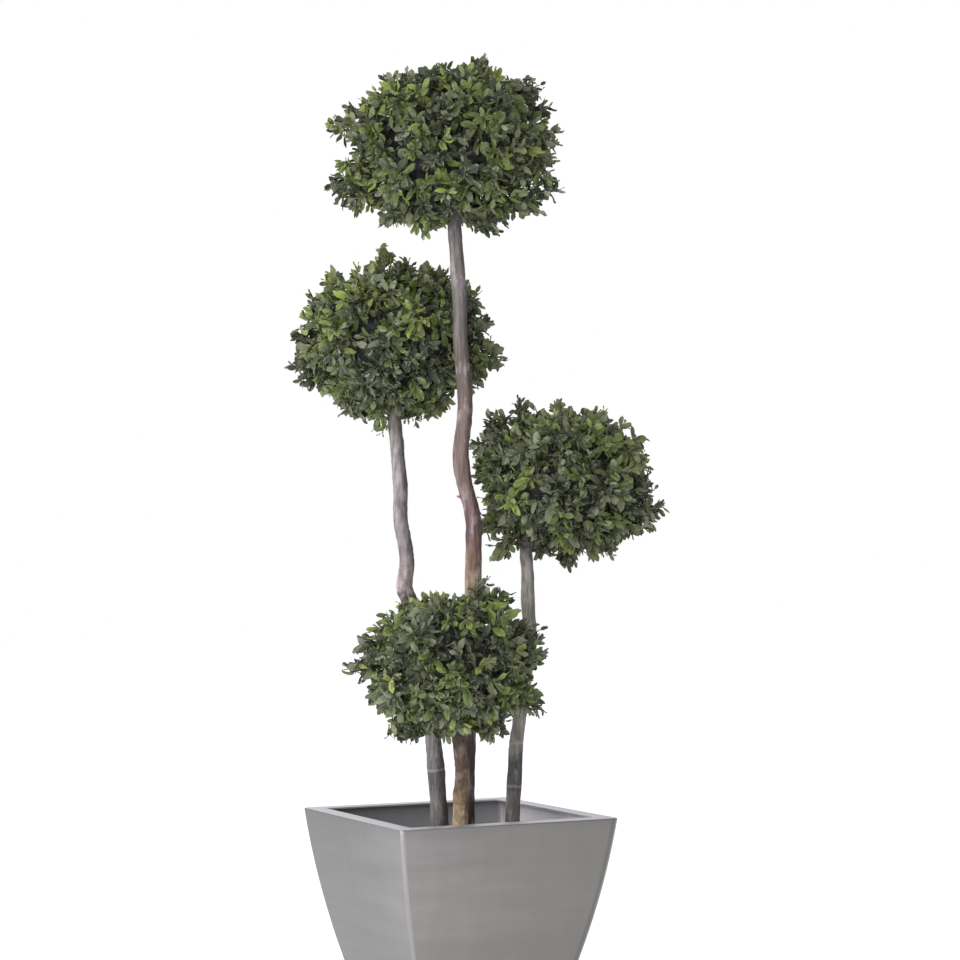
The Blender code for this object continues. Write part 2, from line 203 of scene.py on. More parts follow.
# Painted light: the steel grows lighter towards the front left corner, on top of the bands
to_lit_corner = add_node(steel, "VectorMath", operation="DOT_PRODUCT", Vector=coords, Vector_001=PAINTED_LIGHT_WAY)
brightness = add_node(
    steel, "Math", operation="MULTIPLY_ADD", Value=bands, Value_001=0.4, Value_002=to_lit_corner
)
tones = ((0.16, DULL_STEEL), (0.36, STEEL), (0.56, BRIGHT_STEEL))
brushed = add_node(steel, "ValToRGB", stops=tones, Fac=brightness)
for lines in (brush, streaks):
    brushed = add_node(steel, "Mix", **OVERLAY, Factor_Float=0.06, A_Color=brushed, B_Color=lines)
# A dark line painted beside the two right-hand corners, as a painted reflection of the dark side of the
# room
sides = add_node(steel, "SeparateXYZ", Vector=coords)
across = add_node(steel, "Math", operation="ABSOLUTE", Value=sides.outputs["X"])
along = add_node(steel, "Math", operation="ABSOLUTE", Value=sides.outputs["Y"])
past_corner = add_node(steel, "Math", operation="SUBTRACT", Value=across, Value_001=along)
from_corner = add_node(steel, "Math", operation="ABSOLUTE", Value=past_corner)
past_line = add_node(steel, "Math", operation="SUBTRACT", Value=from_corner, Value_001=DARK_LINE_OFFSET)
from_line = add_node(steel, "Math", operation="ABSOLUTE", Value=past_line)
far_side = add_node(steel, "MapRange", Value=sides.outputs["X"], From_Max=0.1, To_Min=0.01, To_Max=0)
from_dark_line = add_node(steel, "Math", operation="ADD", Value=from_line, Value_001=far_side)
dark_line = add_node(steel, "MapRange", Value=from_dark_line, From_Max=DARK_LINE_WIDTH, To_Min=DARK_LINE_SHADE)
with_dark_line = add_node(steel, "Mix", **MULTIPLY, A_Color=brushed, B_Color=dark_line)
rough = add_node(steel, "MapRange", Value=brush, From_Min=0.3, From_Max=0.7, To_Min=0.36, To_Max=0.42)
brushing = add_node(steel, "Bump", Strength=0.08, Distance=0.0004, Height=brush)
settle(shader, Metallic=1.0, Base_Color=with_dark_line, Roughness=rough, Normal=brushing)

# Bare zinc inside, as it left the bath: matt, palest on the right wall as a painted reflection of the
# bright left side, and darker towards the left as painted shade
zinc, shader = new_material("bare_zinc_inside")
coords = add_node(zinc, "TexCoord").outputs["Object"]
sideways = add_node(zinc, "SeparateXYZ", Vector=coords).outputs["X"]
walls = {"From_Min": -TOP_SIDE / 2, "From_Max": TOP_SIDE / 2}
from_left = add_node(zinc, "MapRange", Value=sideways, **walls)
tones = ((0.55, INSIDE_SHADED_ZINC), (0.955, INSIDE_HALF_LIT_ZINC), (0.972, INSIDE_LIT_ZINC))
inner_painted_light = add_node(zinc, "ValToRGB", stops=tones, Fac=from_left)
settle(shader, Metallic=0.2, Roughness=0.55, Base_Color=inner_painted_light)

# The lip, painted much paler than the walls as a painted reflection of the light above it
lip_sheen_steel, shader = new_material("ground_steel_bright")
settle(shader, Base_Color=LIP_SHEEN_STEEL, Metallic=1.0, Roughness=0.42)

# The rounded corners outside, painted lighter than the walls as a painted highlight
corner_highlight_metal, shader = new_material("flush_weld_brushed")
settle(shader, Base_Color=CORNER_HIGHLIGHT_STEEL, Metallic=1.0, Roughness=0.38)
for metal in (steel, zinc, lip_sheen_steel, corner_highlight_metal):
    planter.data.materials.append(metal)
for face in planter.data.polygons:
    outwards = face.normal.x * face.center.x + face.normal.y * face.center.y
    on_lip = face.center.z > RIM - FOLD_RADIUS and face.normal.z > 0.9
    on_corner = outwards > 0 and min(abs(face.normal.x), abs(face.normal.y)) > 0.25
    if on_lip:
        face.material_index = 2
    elif on_corner:
        face.material_index = 3
    elif outwards < 0 and face.center.z > SHEET:
        face.material_index = 1
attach(planter, "root")
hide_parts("planter")


def place_in_scene(name, data):
    obj = bpy.data.objects.new(name, data)
    bpy.context.scene.collection.objects.link(obj)
    return obj


def round_bars(name, lines, width, side_steps):
    """One mesh of round bars through lines of (centre, radius), active and selected."""
    curve = bpy.data.curves.new(name, "CURVE")
    curve.dimensions = "3D"
    curve.bevel_depth = width
    curve.bevel_resolution = side_steps
    curve.use_fill_caps = True
    for line in lines:
        spline = curve.splines.new("POLY")
        spline.points.add(len(line) - 1)
        for point, (centre, radius) in zip(spline.points, line):
            point.co = (*centre, 1)
            point.radius = radius / width
    bars = place_in_scene(name, curve)
    bpy.ops.object.select_all(action="DESELECT")
    bpy.context.view_layer.objects.active = bars
    bars.select_set(True)
    bpy.ops.object.convert(target="MESH")
    bars.data.materials.clear()
    return bars


# Inside, a bead of weld metal runs down each corner, ground back and a little smoother than the zinc; its
# pale colour is partly a painted highlight of the inner corner
weld_lines = []
for across, along in ((-1, -1), (1, -1), (1, 1), (-1, 1)):
    line = []
    for level in range(WALL_LEVELS + 1):
        height = SHEET + (RIM - 3 * SHEET) * level / WALL_LEVELS
        corner = wall_half_width(height) - SHEET - (CORNER_RADIUS - SHEET) * (1 - math.sqrt(0.5))
        line.append(((across * corner, along * corner, height), WELD_RADIUS))
    weld_lines.append(line)
weld_beads = round_bars("corner_welds", weld_lines, WELD_RADIUS, 2)
bpy.ops.object.shade_smooth_by_angle(angle=math.radians(60))
weld_highlight_metal, shader = new_material("weld_bead_bright")
settle(shader, Base_Color=WELD_HIGHLIGHT_METAL, Metallic=0.4, Roughness=0.5)
weld_beads.data.materials.append(weld_highlight_metal)
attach(weld_beads, "root")
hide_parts("planter")


# Filling: the stems are set in plaster and foam, covered with dark dry fibre and a few chips of bark.
# It is poured and tamped by hand, so its top is uneven, and it fills the planter to 70 mm under the rim.
FILL_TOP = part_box("pot_fill")[1].z
GAP = 0.0003  # clearance between neighbouring solids
FILL_CUTS = 64
FILL_LEVELS = 7
FILL_CORNER = 0.006
UNEVENNESS = 0.007
MOUND_SIZE = 0.045
CRUMB_SIZE = 0.009
MOUND_SHARE = 0.5
CRUMB_SHARE = 0.25
CHIP_COUNT = 620
CHIP_SEED = 7
CHIP_SIZES = (0.012, 0.030)
CHIP_WIDTHS = (0.3, 0.6)  # in chip lengths
CHIP_DEPTHS = (0.12, 0.22)
CHIP_POINT = 0.2  # how far each thinned end reaches
CHIP_THINNING = (1, 0.55, 0.4)
CHIP_TILT = 0.22
CHIP_LIFT = 0.35  # how high its middle lies, in its depths
CHIP_EDGE = 0.020  # room left between the chips and the walls
STEM_ROOM = 0.022
DRY_FIBRE = "#2f251c"
FIBRE_DARK = "#17120e"
FIBRE_PALE = "#54432f"
CHIP_COLOURS = ("#2b2119", "#43342a", "#5d4a38")
STEM_FEET = ((0.013, 0.006), (-0.031, 0.016), (0.099, 0.022), (0.003, -0.038))
PLANT_TURN = math.radians(-27.55)  # the plant's own axes, across, back and up, against the planter's walls


def fill_half_width(height):
    return wall_half_width(height) - SHEET - 2 * GAP


def ground_height(x, y):
    """The filling's uneven top, level again where it meets the walls."""
    room = fill_half_width(FILL_TOP) - max(abs(x), abs(y))
    mounds = noise.noise(Vector((x, y, 0)) / MOUND_SIZE)
    crumbs = noise.noise(Vector((x, y, 0.5)) / CRUMB_SIZE)
    rise = MOUND_SHARE * mounds + CRUMB_SHARE * crumbs - 0.5
    return FILL_TOP + min(1.0, room / CHIP_EDGE) * UNEVENNESS * rise


def mesh_of_copies(name, points, faces):
    """One mesh of many copies of a shape: points has copies, corners and axes, faces are one copy's."""
    copies, corners = points.shape[:2]
    sizes = np.tile([len(face) for face in faces], copies)
    one_copy = np.concatenate([np.array(face) for face in faces])
    loops = (np.arange(copies)[:, None] * corners + one_copy).ravel()
    mesh = bpy.data.meshes.new(name)
    mesh.vertices.add(copies * corners)
    mesh.vertices.foreach_set("co", points.ravel())
    mesh.loops.add(len(loops))
    mesh.loops.foreach_set("vertex_index", loops)
    mesh.polygons.add(len(sizes))
    mesh.polygons.foreach_set("loop_start", np.cumsum(sizes) - sizes)
    mesh.update(calc_edges=True)
    return mesh


bpy.ops.object.select_all(action="DESELECT")
fill_side = 2 * fill_half_width(FILL_TOP)
bpy.ops.mesh.primitive_grid_add(x_subdivisions=FILL_CUTS, y_subdivisions=FILL_CUTS, size=fill_side)
filling = bpy.context.object
filling.name = "filling_block"
bpy.ops.object.mode_set(mode="EDIT")
bm = bmesh.from_edit_mesh(filling.data)
for vert in bm.verts:
    vert.co.z = ground_height(vert.co.x, vert.co.y)
bmesh.update_edit_mesh(filling.data)
select_edges(filling, lambda edge: edge.is_boundary)
floor = SHEET + GAP
top = FILL_TOP - UNEVENNESS / 2
drop = (top - floor) / FILL_LEVELS
for level in range(FILL_LEVELS):
    high = top - drop * level
    narrowing = fill_half_width(high - drop) / fill_half_width(high)
    bpy.ops.mesh.extrude_edges_move(TRANSFORM_OT_translate={"value": (0, 0, -drop)})
    bpy.ops.transform.resize(value=(narrowing, narrowing, 1), center_override=(0, 0, 0))
bpy.ops.mesh.edge_face_add()
select_edges(
    filling,
    lambda edge: abs(edge.verts[0].co.z - edge.verts[1].co.z) > drop / 2
    and all(min(abs(v.co.x), abs(v.co.y)) > fill_half_width(v.co.z) - GAP * 4 for v in edge.verts),
)
bpy.ops.mesh.bevel(offset=FILL_CORNER, segments=2)
bpy.ops.mesh.select_all(action="SELECT")
bpy.ops.mesh.normals_make_consistent(inside=False)
bpy.ops.object.mode_set(mode="OBJECT")
bpy.ops.object.shade_smooth_by_angle(angle=math.radians(40))

# Coir and bark fibre, dry: strands a millimetre thick lie every way, so it is drawn as fine mottling
# in dark and pale brown with deep, rough relief and no gloss.
fibre, shader = new_material("coir_fibre_dry")
coords = add_node(fibre, "TexCoord").outputs["Object"]
strands = add_node(fibre, "TexNoise", Vector=coords, Scale=420, Detail=5, Roughness=0.7, Distortion=2.5)
patches = add_node(fibre, "TexNoise", Vector=coords, Scale=35, Detail=3)
tones = ((0.3, FIBRE_DARK), (0.52, DRY_FIBRE), (0.72, FIBRE_PALE))
fibre_colour = add_node(fibre, "ValToRGB", stops=tones, Fac=strands)
patched = add_node(fibre, "Mix", **OVERLAY, Factor_Float=0.5, A_Color=fibre_colour, B_Color=patches)
relief = add_node(fibre, "Bump", Strength=0.9, Distance=0.0015, Height=strands)
settle(shader, Roughness=0.95, Base_Color=patched, Normal=relief)
filling.data.materials.append(fibre)
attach(filling, "root")
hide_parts("pot_fill")

# One chip of bark: a six-sided slip, thinned at both ends, copied over the filling
bpy.ops.object.select_all(action="DESELECT")
bpy.ops.mesh.primitive_cylinder_add(vertices=6, radius=0.5, depth=0.6, rotation=(0, math.pi / 2, 0))
bpy.ops.object.transform_apply(rotation=True)
chip = bpy.context.object
bpy.ops.object.mode_set(mode="EDIT")
for end, shift in ((-1, 0.06), (1, -0.1)):
    bm = bmesh.from_edit_mesh(chip.data)
    for face in bm.faces:
        face.select_set(abs(face.normal.x) > 0.9 and face.calc_center_median().x * end > 0)
    bmesh.update_edit_mesh(chip.data)
    tip = {"value": (CHIP_POINT * end, 0, shift)}
    bpy.context.tool_settings.mesh_select_mode = (False, False, True)
    bpy.ops.mesh.extrude_region_move(TRANSFORM_OT_translate=tip)
    bpy.ops.transform.resize(value=CHIP_THINNING)
    bpy.ops.mesh.select_all(action="DESELECT")
bpy.context.tool_settings.mesh_select_mode = (False, True, False)
bpy.ops.object.mode_set(mode="OBJECT")
chip_corners = np.array([vert.co for vert in chip.data.vertices])
chip_faces = [tuple(face.vertices) for face in chip.data.polygons]
bpy.data.objects.remove(chip)
rng = np.random.default_rng(CHIP_SEED)
chip_room = fill_half_width(FILL_TOP) - CHIP_EDGE
across, back = np.array(STEM_FEET).T
cosine, sine = math.cos(PLANT_TURN), math.sin(PLANT_TURN)
feet = np.stack([across * cosine - back * sine, across * sine + back * cosine], axis=1)
chips = []
while len(chips) < CHIP_COUNT:
    spot = rng.uniform(-chip_room, chip_room, 2)
    length = rng.uniform(*CHIP_SIZES)
    size = np.array([length, length * rng.uniform(*CHIP_WIDTHS), length * rng.uniform(*CHIP_DEPTHS)])
    turn = Matrix.Rotation(rng.uniform(0, math.tau), 3, "Z")
    tilt = turn @ Matrix.Rotation(rng.normal(0, CHIP_TILT), 3, "Y")
    if np.linalg.norm(feet - spot, axis=1).min() > STEM_ROOM:
        lift = ground_height(*spot) + size[2] * CHIP_LIFT
        chips.append((chip_corners * size) @ np.array(tilt).T + (*spot, lift))
chip_mesh = mesh_of_copies("bark_chips", np.array(chips), chip_faces)
chip_tints = rng.integers(0, len(CHIP_COLOURS), CHIP_COUNT)
chip_mesh.polygons.foreach_set("material_index", np.repeat(chip_tints, len(chip_faces)))
bark_chips = place_in_scene("bark_chips", chip_mesh)


def mottled(name, colour, scale, contrast, strength, depth, roughness, gloss):
    """A material of one colour, mottled and a little rough in relief."""
    material, shader = new_material(name)
    coords = add_node(material, "TexCoord").outputs["Object"]
    mottling = add_node(material, "TexNoise", Vector=coords, Scale=scale, Detail=4)
    mixed = add_node(material, "Mix", **OVERLAY, Factor_Float=contrast, A_Color=colour, B_Color=mottling)
    relief = add_node(material, "Bump", Strength=strength, Distance=depth, Height=mottling)
    settle(shader, Roughness=roughness, Specular_IOR_Level=gloss, Base_Color=mixed, Normal=relief)
    return material


# Shredded bark, weathered: fibrous and matt, each chip in one of three browns
for number, colour in enumerate(CHIP_COLOURS):
    bark = mottled(f"shredded_bark_{number}", colour, 500.0, 0.7, 0.6, 0.001, 0.9, 0.5)
    chip_mesh.materials.append(bark)
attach(bark_chips, "root")
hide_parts("pot_fill")


# Stems: four bare trunks of pittosporum, stripped of side twigs and dried with the bark on. Each keeps
# its crooks, the scars and stubs where twigs were cut, and fine wrinkles up the bark, and its colour
# changes with height as the bark was weathered or rubbed off. On the tall stem the darkest zones, low
# down under and behind the low ball, are painted shade.
FOOT = FILL_TOP + GAP
RING_SPACING = 0.004
FOOT_STEP = 0.004  # straight ends, so that both cuts are level
STEM_SIDE_STEPS = 14  # gives 32 sides
FLARE_HEIGHT = 0.030
FLARE = 0.10  # how much wider than its taper a stem is at the foot
KNOT_LENGTH = 0.020
KNOT_SWELLING = 0.07
SWAY_PITCH = (60, 60, 22)  # slow lumps in the wood, for each metre
SWAY_DEPTH = 0.0011
WRINKLE_PITCH = (330, 330, 26)  # wrinkles 3 mm apart and 40 mm long
WRINKLE_DEPTH = 0.0006
SCAR_LIP = 0.0022
SCAR_LIP_WIDTH = 0.009
SCAR_PIT = 0.0030
SCAR_PIT_WIDTH = 0.0038
STUB_REACH = 0.0070
STUB_WIDTH = 0.0045
STUB_LIFT = 0.3  # how far it rises, in its reach
SHADE_SIDE = (0.9, -0.35, 0.0)  # the way the side faces that is painted darker, as painted shade
ZONE_WANDER = 0.14  # how far the edges between bark colours wander up and down
RING_WANDER = 0.016
LENTICEL = "#3b2f2a"
MIX = {"data_type": "RGBA"}  # settings of a node that mixes two colours by a share


class Stem(NamedTuple):
    name: str
    slot: str
    foot_radius: float
    tip_radius: float
    knots: tuple  # heights of old pruning scars
    scars: tuple  # (height, degrees round from the right, seen from the front towards the back)
    stubs: tuple  # cut twigs, placed as scars are
    route: tuple  # (across, back, up) from the foot to the tip
    zones: tuple  # (height, bark colour) up the stem
    flakes: str  # colour of the pale patches
    rings: tuple  # heights of thin pale rings
    side_shade: float  # how dark the painted shade on the side away from the light is, as a share of the rest


STEMS = (
    Stem(
        "stem_tall", "bark_tall", 0.0168, 0.0128, (0.830, 1.040),
        ((0.830, -75), (1.040, -20), (1.225, -60), (1.375, 170), (0.905, 160), (1.130, -130)),
        ((0.978, 172),),
        (
            (0.013, 0.006, FOOT), (0.017, 0.004, 0.500), (0.022, 0.003, 0.660), (0.029, 0.003, 0.820),
            (0.029, 0.002, 0.935), (0.013, 0.002, 1.003), (0.006, 0.002, 1.062), (0.014, 0.001, 1.150),
            (0.005, 0.001, 1.275), (0.004, 0.001, 1.345), (-0.005, 0.000, 1.470), (-0.007, 0.000, 1.508),
        ),
        (
            # The two lowest zones are dark as painted shade, under and behind the low ball
            (0.33, "#453d36"), (0.70, "#5b4b40"), (0.79, "#776351"), (0.835, "#9e886e"), (0.87, "#775d50"),
            (0.90, "#5c4849"), (0.98, "#75625b"), (1.10, "#71615b"), (1.22, "#60564f"), (1.35, "#6f6965"),
            (1.43, "#78706e"), (1.51, "#5b5756"),
        ),
        "#a8a2a2", (), 0.6,
    ),
    Stem(
        "stem_left", "bark_left", 0.0162, 0.0130, (0.385, 0.475, 0.806),
        ((0.385, -95), (0.475, -60), (0.806, 185), (0.960, -80), (1.085, -20)), (),
        (
            (-0.031, 0.016, FOOT), (-0.036, 0.026, 0.430), (-0.044, 0.037, 0.525), (-0.064, 0.054, 0.660),
            (-0.086, 0.071, 0.772), (-0.100, 0.077, 0.812), (-0.096, 0.083, 0.862), (-0.108, 0.092, 0.940),
            (-0.109, 0.099, 0.995), (-0.116, 0.112, 1.075), (-0.124, 0.125, 1.160), (-0.126, 0.128, 1.175),
        ),
        (
            (0.33, "#6f6b69"), (0.42, "#767270"), (0.466, "#645f5d"), (0.50, "#7b7977"), (0.56, "#867e7d"),
            (0.74, "#79645e"), (0.803, "#624f4a"), (0.825, "#aa9c99"), (0.853, "#807776"),
            (0.88, "#736b6a"), (0.92, "#827c7a"), (1.18, "#86827d"),
        ),
        "#b1acad", (0.475,), 0.58,
    ),
    Stem(
        "stem_right", "bark_right", 0.0138, 0.0116, (0.450, 0.790),
        ((0.450, -60), (0.790, -40), (0.640, -120), (0.390, -90), (0.520, 175)), (),
        (
            (0.099, 0.022, FOOT), (0.104, 0.028, 0.430), (0.109, 0.034, 0.520), (0.122, 0.041, 0.620),
            (0.135, 0.047, 0.710), (0.131, 0.052, 0.780), (0.131, 0.056, 0.820), (0.127, 0.062, 0.895),
        ),
        (
            (0.33, "#807974"), (0.43, "#78736f"), (0.457, "#5c5b55"), (0.485, "#51514f"),
            (0.512, "#7f7a72"), (0.62, "#878879"), (0.78, "#7b796d"), (0.834, "#95908b"), (0.87, "#5f5c56"),
            (0.90, "#5f5c56"),
        ),
        "#a39d99", (0.447, 0.525), 0.75,
    ),
    Stem(
        "stem_low", "bark_low", 0.0146, 0.0122, (0.440,), ((0.436, 178), (0.375, -80), (0.500, -50)), (),
        (
            (0.003, -0.038, FOOT), (0.008, -0.066, 0.430), (0.010, -0.086, 0.485), (0.003, -0.108, 0.545),
            (0.001, -0.113, 0.562),
        ),
        (
            (0.33, "#c3ad8c"), (0.393, "#bea887"), (0.411, "#836e58"), (0.439, "#947a5e"),
            (0.466, "#645244"), (0.494, "#5f4f45"), (0.56, "#443f33"),
        ),
        "#a8977f", (), 0.85,
    ),
)


def smooth_route(route, spacing):
    """Points about a spacing apart on a smooth curve through the route."""
    ends = [2 * Vector(route[0]) - Vector(route[1])]
    ends += [Vector(point) for point in route]
    ends.append(2 * ends[-1] - ends[-2])
    points = []
    for a, b, c, d in zip(ends, ends[1:], ends[2:], ends[3:]):
        steps = max(1, round((c - b).length / spacing))
        for step in range(steps):
            t = step / steps
            bend = (2 * a - 5 * b + 4 * c - d) * t**2 + (3 * b - a - 3 * c + d) * t**3
            points.append((2 * b + (c - a) * t + bend) / 2)
    points.append(ends[-2])
    return points


def stem_rings(stem, spacing):
    """(centre, radius) of each ring up a stem: an even taper, a flare at the foot, swellings at scars."""
    points = smooth_route(stem.route, spacing)
    if spacing > FOOT_STEP:
        points.insert(1, points[0] + Vector((0, 0, FOOT_STEP)))
        points.insert(-1, points[-1] - Vector((0, 0, FOOT_STEP)))
    length = points[-1].z - points[0].z
    rings = []
    for point in points:
        rise = point.z - points[0].z
        radius = stem.foot_radius + (stem.tip_radius - stem.foot_radius) * rise / length
        radius *= 1 + FLARE * math.exp(-rise / FLARE_HEIGHT)
        for knot in stem.knots:
            radius *= 1 + KNOT_SWELLING * math.exp(-(((point.z - knot) / KNOT_LENGTH) ** 2))
        rings.append((point, radius))
    return rings


def place_on_bark(rings, height, degrees):
    """A place on a stem's surface, and the way out of the wood there."""
    centre, radius = min(rings, key=lambda ring: abs(ring[0].z - height))
    angle = math.radians(degrees)
    outwards = Vector((math.cos(angle), math.sin(angle), 0))
    return centre + outwards * radius, outwards


def bark_relief(point, scars):
    """How far the bark stands out at a place: lumps, wrinkles, and a lipped pit at each scar."""
    sway = noise.noise(Vector([p * k for p, k in zip(point, SWAY_PITCH)]))
    wrinkle = abs(noise.noise(Vector([p * k for p, k in zip(point, WRINKLE_PITCH)])))
    height = SWAY_DEPTH * sway - WRINKLE_DEPTH * (1 - 3 * wrinkle)
    for scar in scars:
        away = (point - scar).length
        height += SCAR_LIP * math.exp(-((away / SCAR_LIP_WIDTH) ** 2))
        height -= SCAR_PIT * math.exp(-((away / SCAR_PIT_WIDTH) ** 2))
    return height


def grow_stub(bark, foot, outwards):
    """Draws the stump of a cut twig out of the bark, in three tapering steps."""
    bpy.context.tool_settings.mesh_select_mode = (False, False, True)
    bpy.ops.mesh.select_all(action="DESELECT")
    bm = bmesh.from_edit_mesh(bark.data)
    for face in bm.faces:
        face.select_set((face.calc_center_median() - foot).length < STUB_WIDTH)
    bmesh.update_edit_mesh(bark.data)
    for share, shrink in ((0.5, 0.72), (0.35, 0.8), (0.15, 0.7)):
        step = outwards * STUB_REACH * share + Vector((0, 0, STUB_REACH * STUB_LIFT * share))
        bpy.ops.mesh.extrude_region_move(TRANSFORM_OT_translate={"value": step})
        bpy.ops.transform.resize(value=(shrink,) * 3)
    bpy.ops.mesh.select_all(action="DESELECT")
    bpy.context.tool_settings.mesh_select_mode = (False, True, False)


def shaded(material, colour, pattern, span, shades):
    """A colour made darker or lighter by a pattern's value."""
    ends = {"From_Min": span[0], "From_Max": span[1], "To_Min": shades[0], "To_Max": shades[1]}
    shade = add_node(material, "MapRange", Value=pattern, **ends)
    return add_node(material, "Mix", **MULTIPLY, A_Color=colour, B_Color=shade)


def bark_material(stem):
    """Pittosporum bark, dried: smooth and thin, weathered grey and rubbed brown in zones up the stem."""
    bark, shader = new_material(stem.name + "_bark_dried")
    coords = add_node(bark, "TexCoord").outputs["Object"]
    height = add_node(bark, "SeparateXYZ", Vector=coords).outputs["Z"]
    wander = add_node(bark, "TexNoise", Vector=coords, Scale=30, Detail=4)
    edge = add_node(
        bark, "Math", operation="MULTIPLY_ADD", Value=wander, Value_001=ZONE_WANDER, Value_002=height
    )
    low, high = stem.zones[0][0], stem.zones[-1][0]
    ends = {"From_Min": low + ZONE_WANDER / 2, "From_Max": high + ZONE_WANDER / 2}
    zone_place = add_node(bark, "MapRange", Value=edge, **ends)
    stops = [((z - low) / (high - low), colour) for z, colour in stem.zones]
    zone = add_node(bark, "ValToRGB", stops=stops, Fac=zone_place)
    # Wrinkles 4 mm apart and some 50 mm long, lighter on their crests
    upright = add_node(bark, "Mapping", Vector=coords, Scale=(1, 1, 0.08))
    wrinkles = add_node(bark, "TexNoise", Vector=upright, Scale=260, Detail=5, Roughness=0.65)
    wrinkled = shaded(bark, zone, wrinkles, (0.38, 0.62), (0.80, 1.14))
    # Weathered streaks 6 mm wide and some 90 mm long
    upright = add_node(bark, "Mapping", Vector=coords, Scale=(1, 1, 0.07))
    streaks = add_node(bark, "TexNoise", Vector=upright, Scale=150, Detail=3, Roughness=0.6)
    streaked = shaded(bark, wrinkled, streaks, (0.40, 0.60), (0.70, 1.20))
    # The side away from the light, darkened as painted shade
    facing = add_node(bark, "TexCoord").outputs["Normal"]
    shade_way = Vector(SHADE_SIDE).normalized()
    shade_facing = add_node(bark, "VectorMath", operation="DOT_PRODUCT", Vector=facing, Vector_001=shade_way)
    side_shaded = shaded(bark, streaked, shade_facing, (0.0, 0.85), (1.0, stem.side_shade))
    # Patches some 15 mm wide and 40 mm long where the outer skin has flaked to pale grey
    upright = add_node(bark, "Mapping", Vector=coords, Scale=(1, 1, 0.4))
    flakes = add_node(bark, "TexNoise", Vector=upright, Scale=65, Detail=6, Roughness=0.6)
    flaked = add_node(bark, "MapRange", Value=flakes, From_Min=0.54, From_Max=0.68, To_Max=0.5)
    patched = add_node(bark, "Mix", **MIX, Factor_Float=flaked, A_Color=side_shaded, B_Color=stem.flakes)
    # Thin pale rings, where a year's growth began
    for ring_height in stem.rings:
        lowest = -ring_height - RING_WANDER / 2
        past = add_node(
            bark, "Math", operation="MULTIPLY_ADD", Value=wander, Value_001=RING_WANDER, Value_002=lowest
        )
        away = add_node(bark, "Math", operation="ADD", Value=past, Value_001=height)
        distance = add_node(bark, "Math", operation="ABSOLUTE", Value=away)
        ends = {"From_Min": 0.0008, "From_Max": 0.0030, "To_Min": 0.4, "To_Max": 0}
        ring = add_node(bark, "MapRange", Value=distance, **ends)
        patched = add_node(bark, "Mix", **MIX, Factor_Float=ring, A_Color=patched, B_Color=stem.flakes)
    # Lenticels: dark corky dots 2 mm wide, some 8 mm apart
    dots = add_node(bark, "TexVoronoi", Vector=coords, Scale=125)
    dotted = add_node(bark, "MapRange", Value=dots, From_Min=0.08, From_Max=0.16, To_Min=0.4, To_Max=0)
    speckled = add_node(bark, "Mix", **MIX, Factor_Float=dotted, A_Color=patched, B_Color=LENTICEL)
    wrinkle_relief = add_node(bark, "Bump", Strength=0.55, Distance=0.0012, Height=wrinkles)
    relief = {"Height": flaked, "Normal": wrinkle_relief}
    flake_relief = add_node(bark, "Bump", Strength=0.4, Distance=0.0008, **relief)
    settle(shader, Roughness=0.72, Specular_IOR_Level=0.35, Base_Color=speckled, Normal=flake_relief)
    return bark


for stem in STEMS:
    rings = stem_rings(stem, RING_SPACING)
    bark = round_bars(stem.name + "_bark", [rings], stem.foot_radius, STEM_SIDE_STEPS)
    bpy.ops.object.mode_set(mode="EDIT")
    bpy.ops.mesh.select_all(action="SELECT")
    bpy.ops.mesh.remove_doubles(threshold=0.0001)
    for height, degrees in stem.stubs:
        grow_stub(bark, *place_on_bark(rings, height, degrees))
    bpy.ops.object.mode_set(mode="OBJECT")
    scars = [place_on_bark(rings, *scar)[0] for scar in stem.scars]
    ends = (rings[0][0].z + FOOT_STEP, rings[-1][0].z - FOOT_STEP)
    for vert in bark.data.vertices:
        if ends[0] < vert.co.z < ends[1]:
            vert.co += vert.normal * bark_relief(vert.co, scars)
    bark.data.transform(Matrix.Rotation(PLANT_TURN, 4, "Z"))
    bpy.ops.object.shade_smooth_by_angle(angle=math.radians(60))
    bark.data.materials.append(bark_material(stem))
    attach(bark, "root")
    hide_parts(stem.name)


# Balls of leaves: each stem ends in a head of boughs that was clipped round for years, then preserved,
# so its twigs end in close rosettes of leathery leaves, with some shoots standing out of the clipped
# face. Boughs, twigs and leaves grow from the head's own short stem by the rule that shaped its solid.
ROUNDNESS = 2.3  # 2 is an ellipsoid, and more is nearer to a box
LUMP_DEPTH = 0.045
LUMP_WAVES = 5
LUMP_PITCH = 5.0  # waves in the face, in radians across a ball's radius
LUMP_BIAS = 0.4
STRAY_SPREAD = math.radians(16)
STRAY_LOSS = 0.32  # how much nearer a stray shoot's space ends at its sides
TUFTS_A_SQUARE_METRE = 110
TUFT_SPREAD = math.radians(8.5)
TUFT_HEIGHTS = (0.03, 0.12)  # of the clipped reach
GOLDEN_ANGLE = math.pi * (3 - math.sqrt(5))
LIMB_CLEARANCE = 0.002
LIMB_SPACING = 0.034
LOW_ROOT = 0.4  # how far down the ball's own stem the lowest boughs leave it
OWN_STEM_TAPER = 0.6
BOUGHS_A_SQUARE_METRE = 60
BOUGH_SHARE = 0.62  # of the clipped reach
BOUGH_RADII = (0.0042, 0.0022)
BOUGH_LIFT = 0.06
CLUSTERS_A_SQUARE_METRE = 260
VIGOUR = (0.90, 1.02)  # how far a cluster's outer sprigs reach, against the others
DEEP_VIGOUR = 0.928  # below this a cluster sits deep, and its leaves get the darkest tint as painted shade
HOLLOW_VIGOUR = 0.85  # how far sprigs in a hollow reach
OUTER_SPRIGS_A_SQUARE_METRE = 760
INNER_SPRIGS_A_SQUARE_METRE = 560
OUTER_SHARES = (0.95, 1.02)
INNER_SHARES = (0.68, 0.93)
STRAY_SHARES = (1.0, 0.98, 0.96, 0.93, 0.90, 0.86)
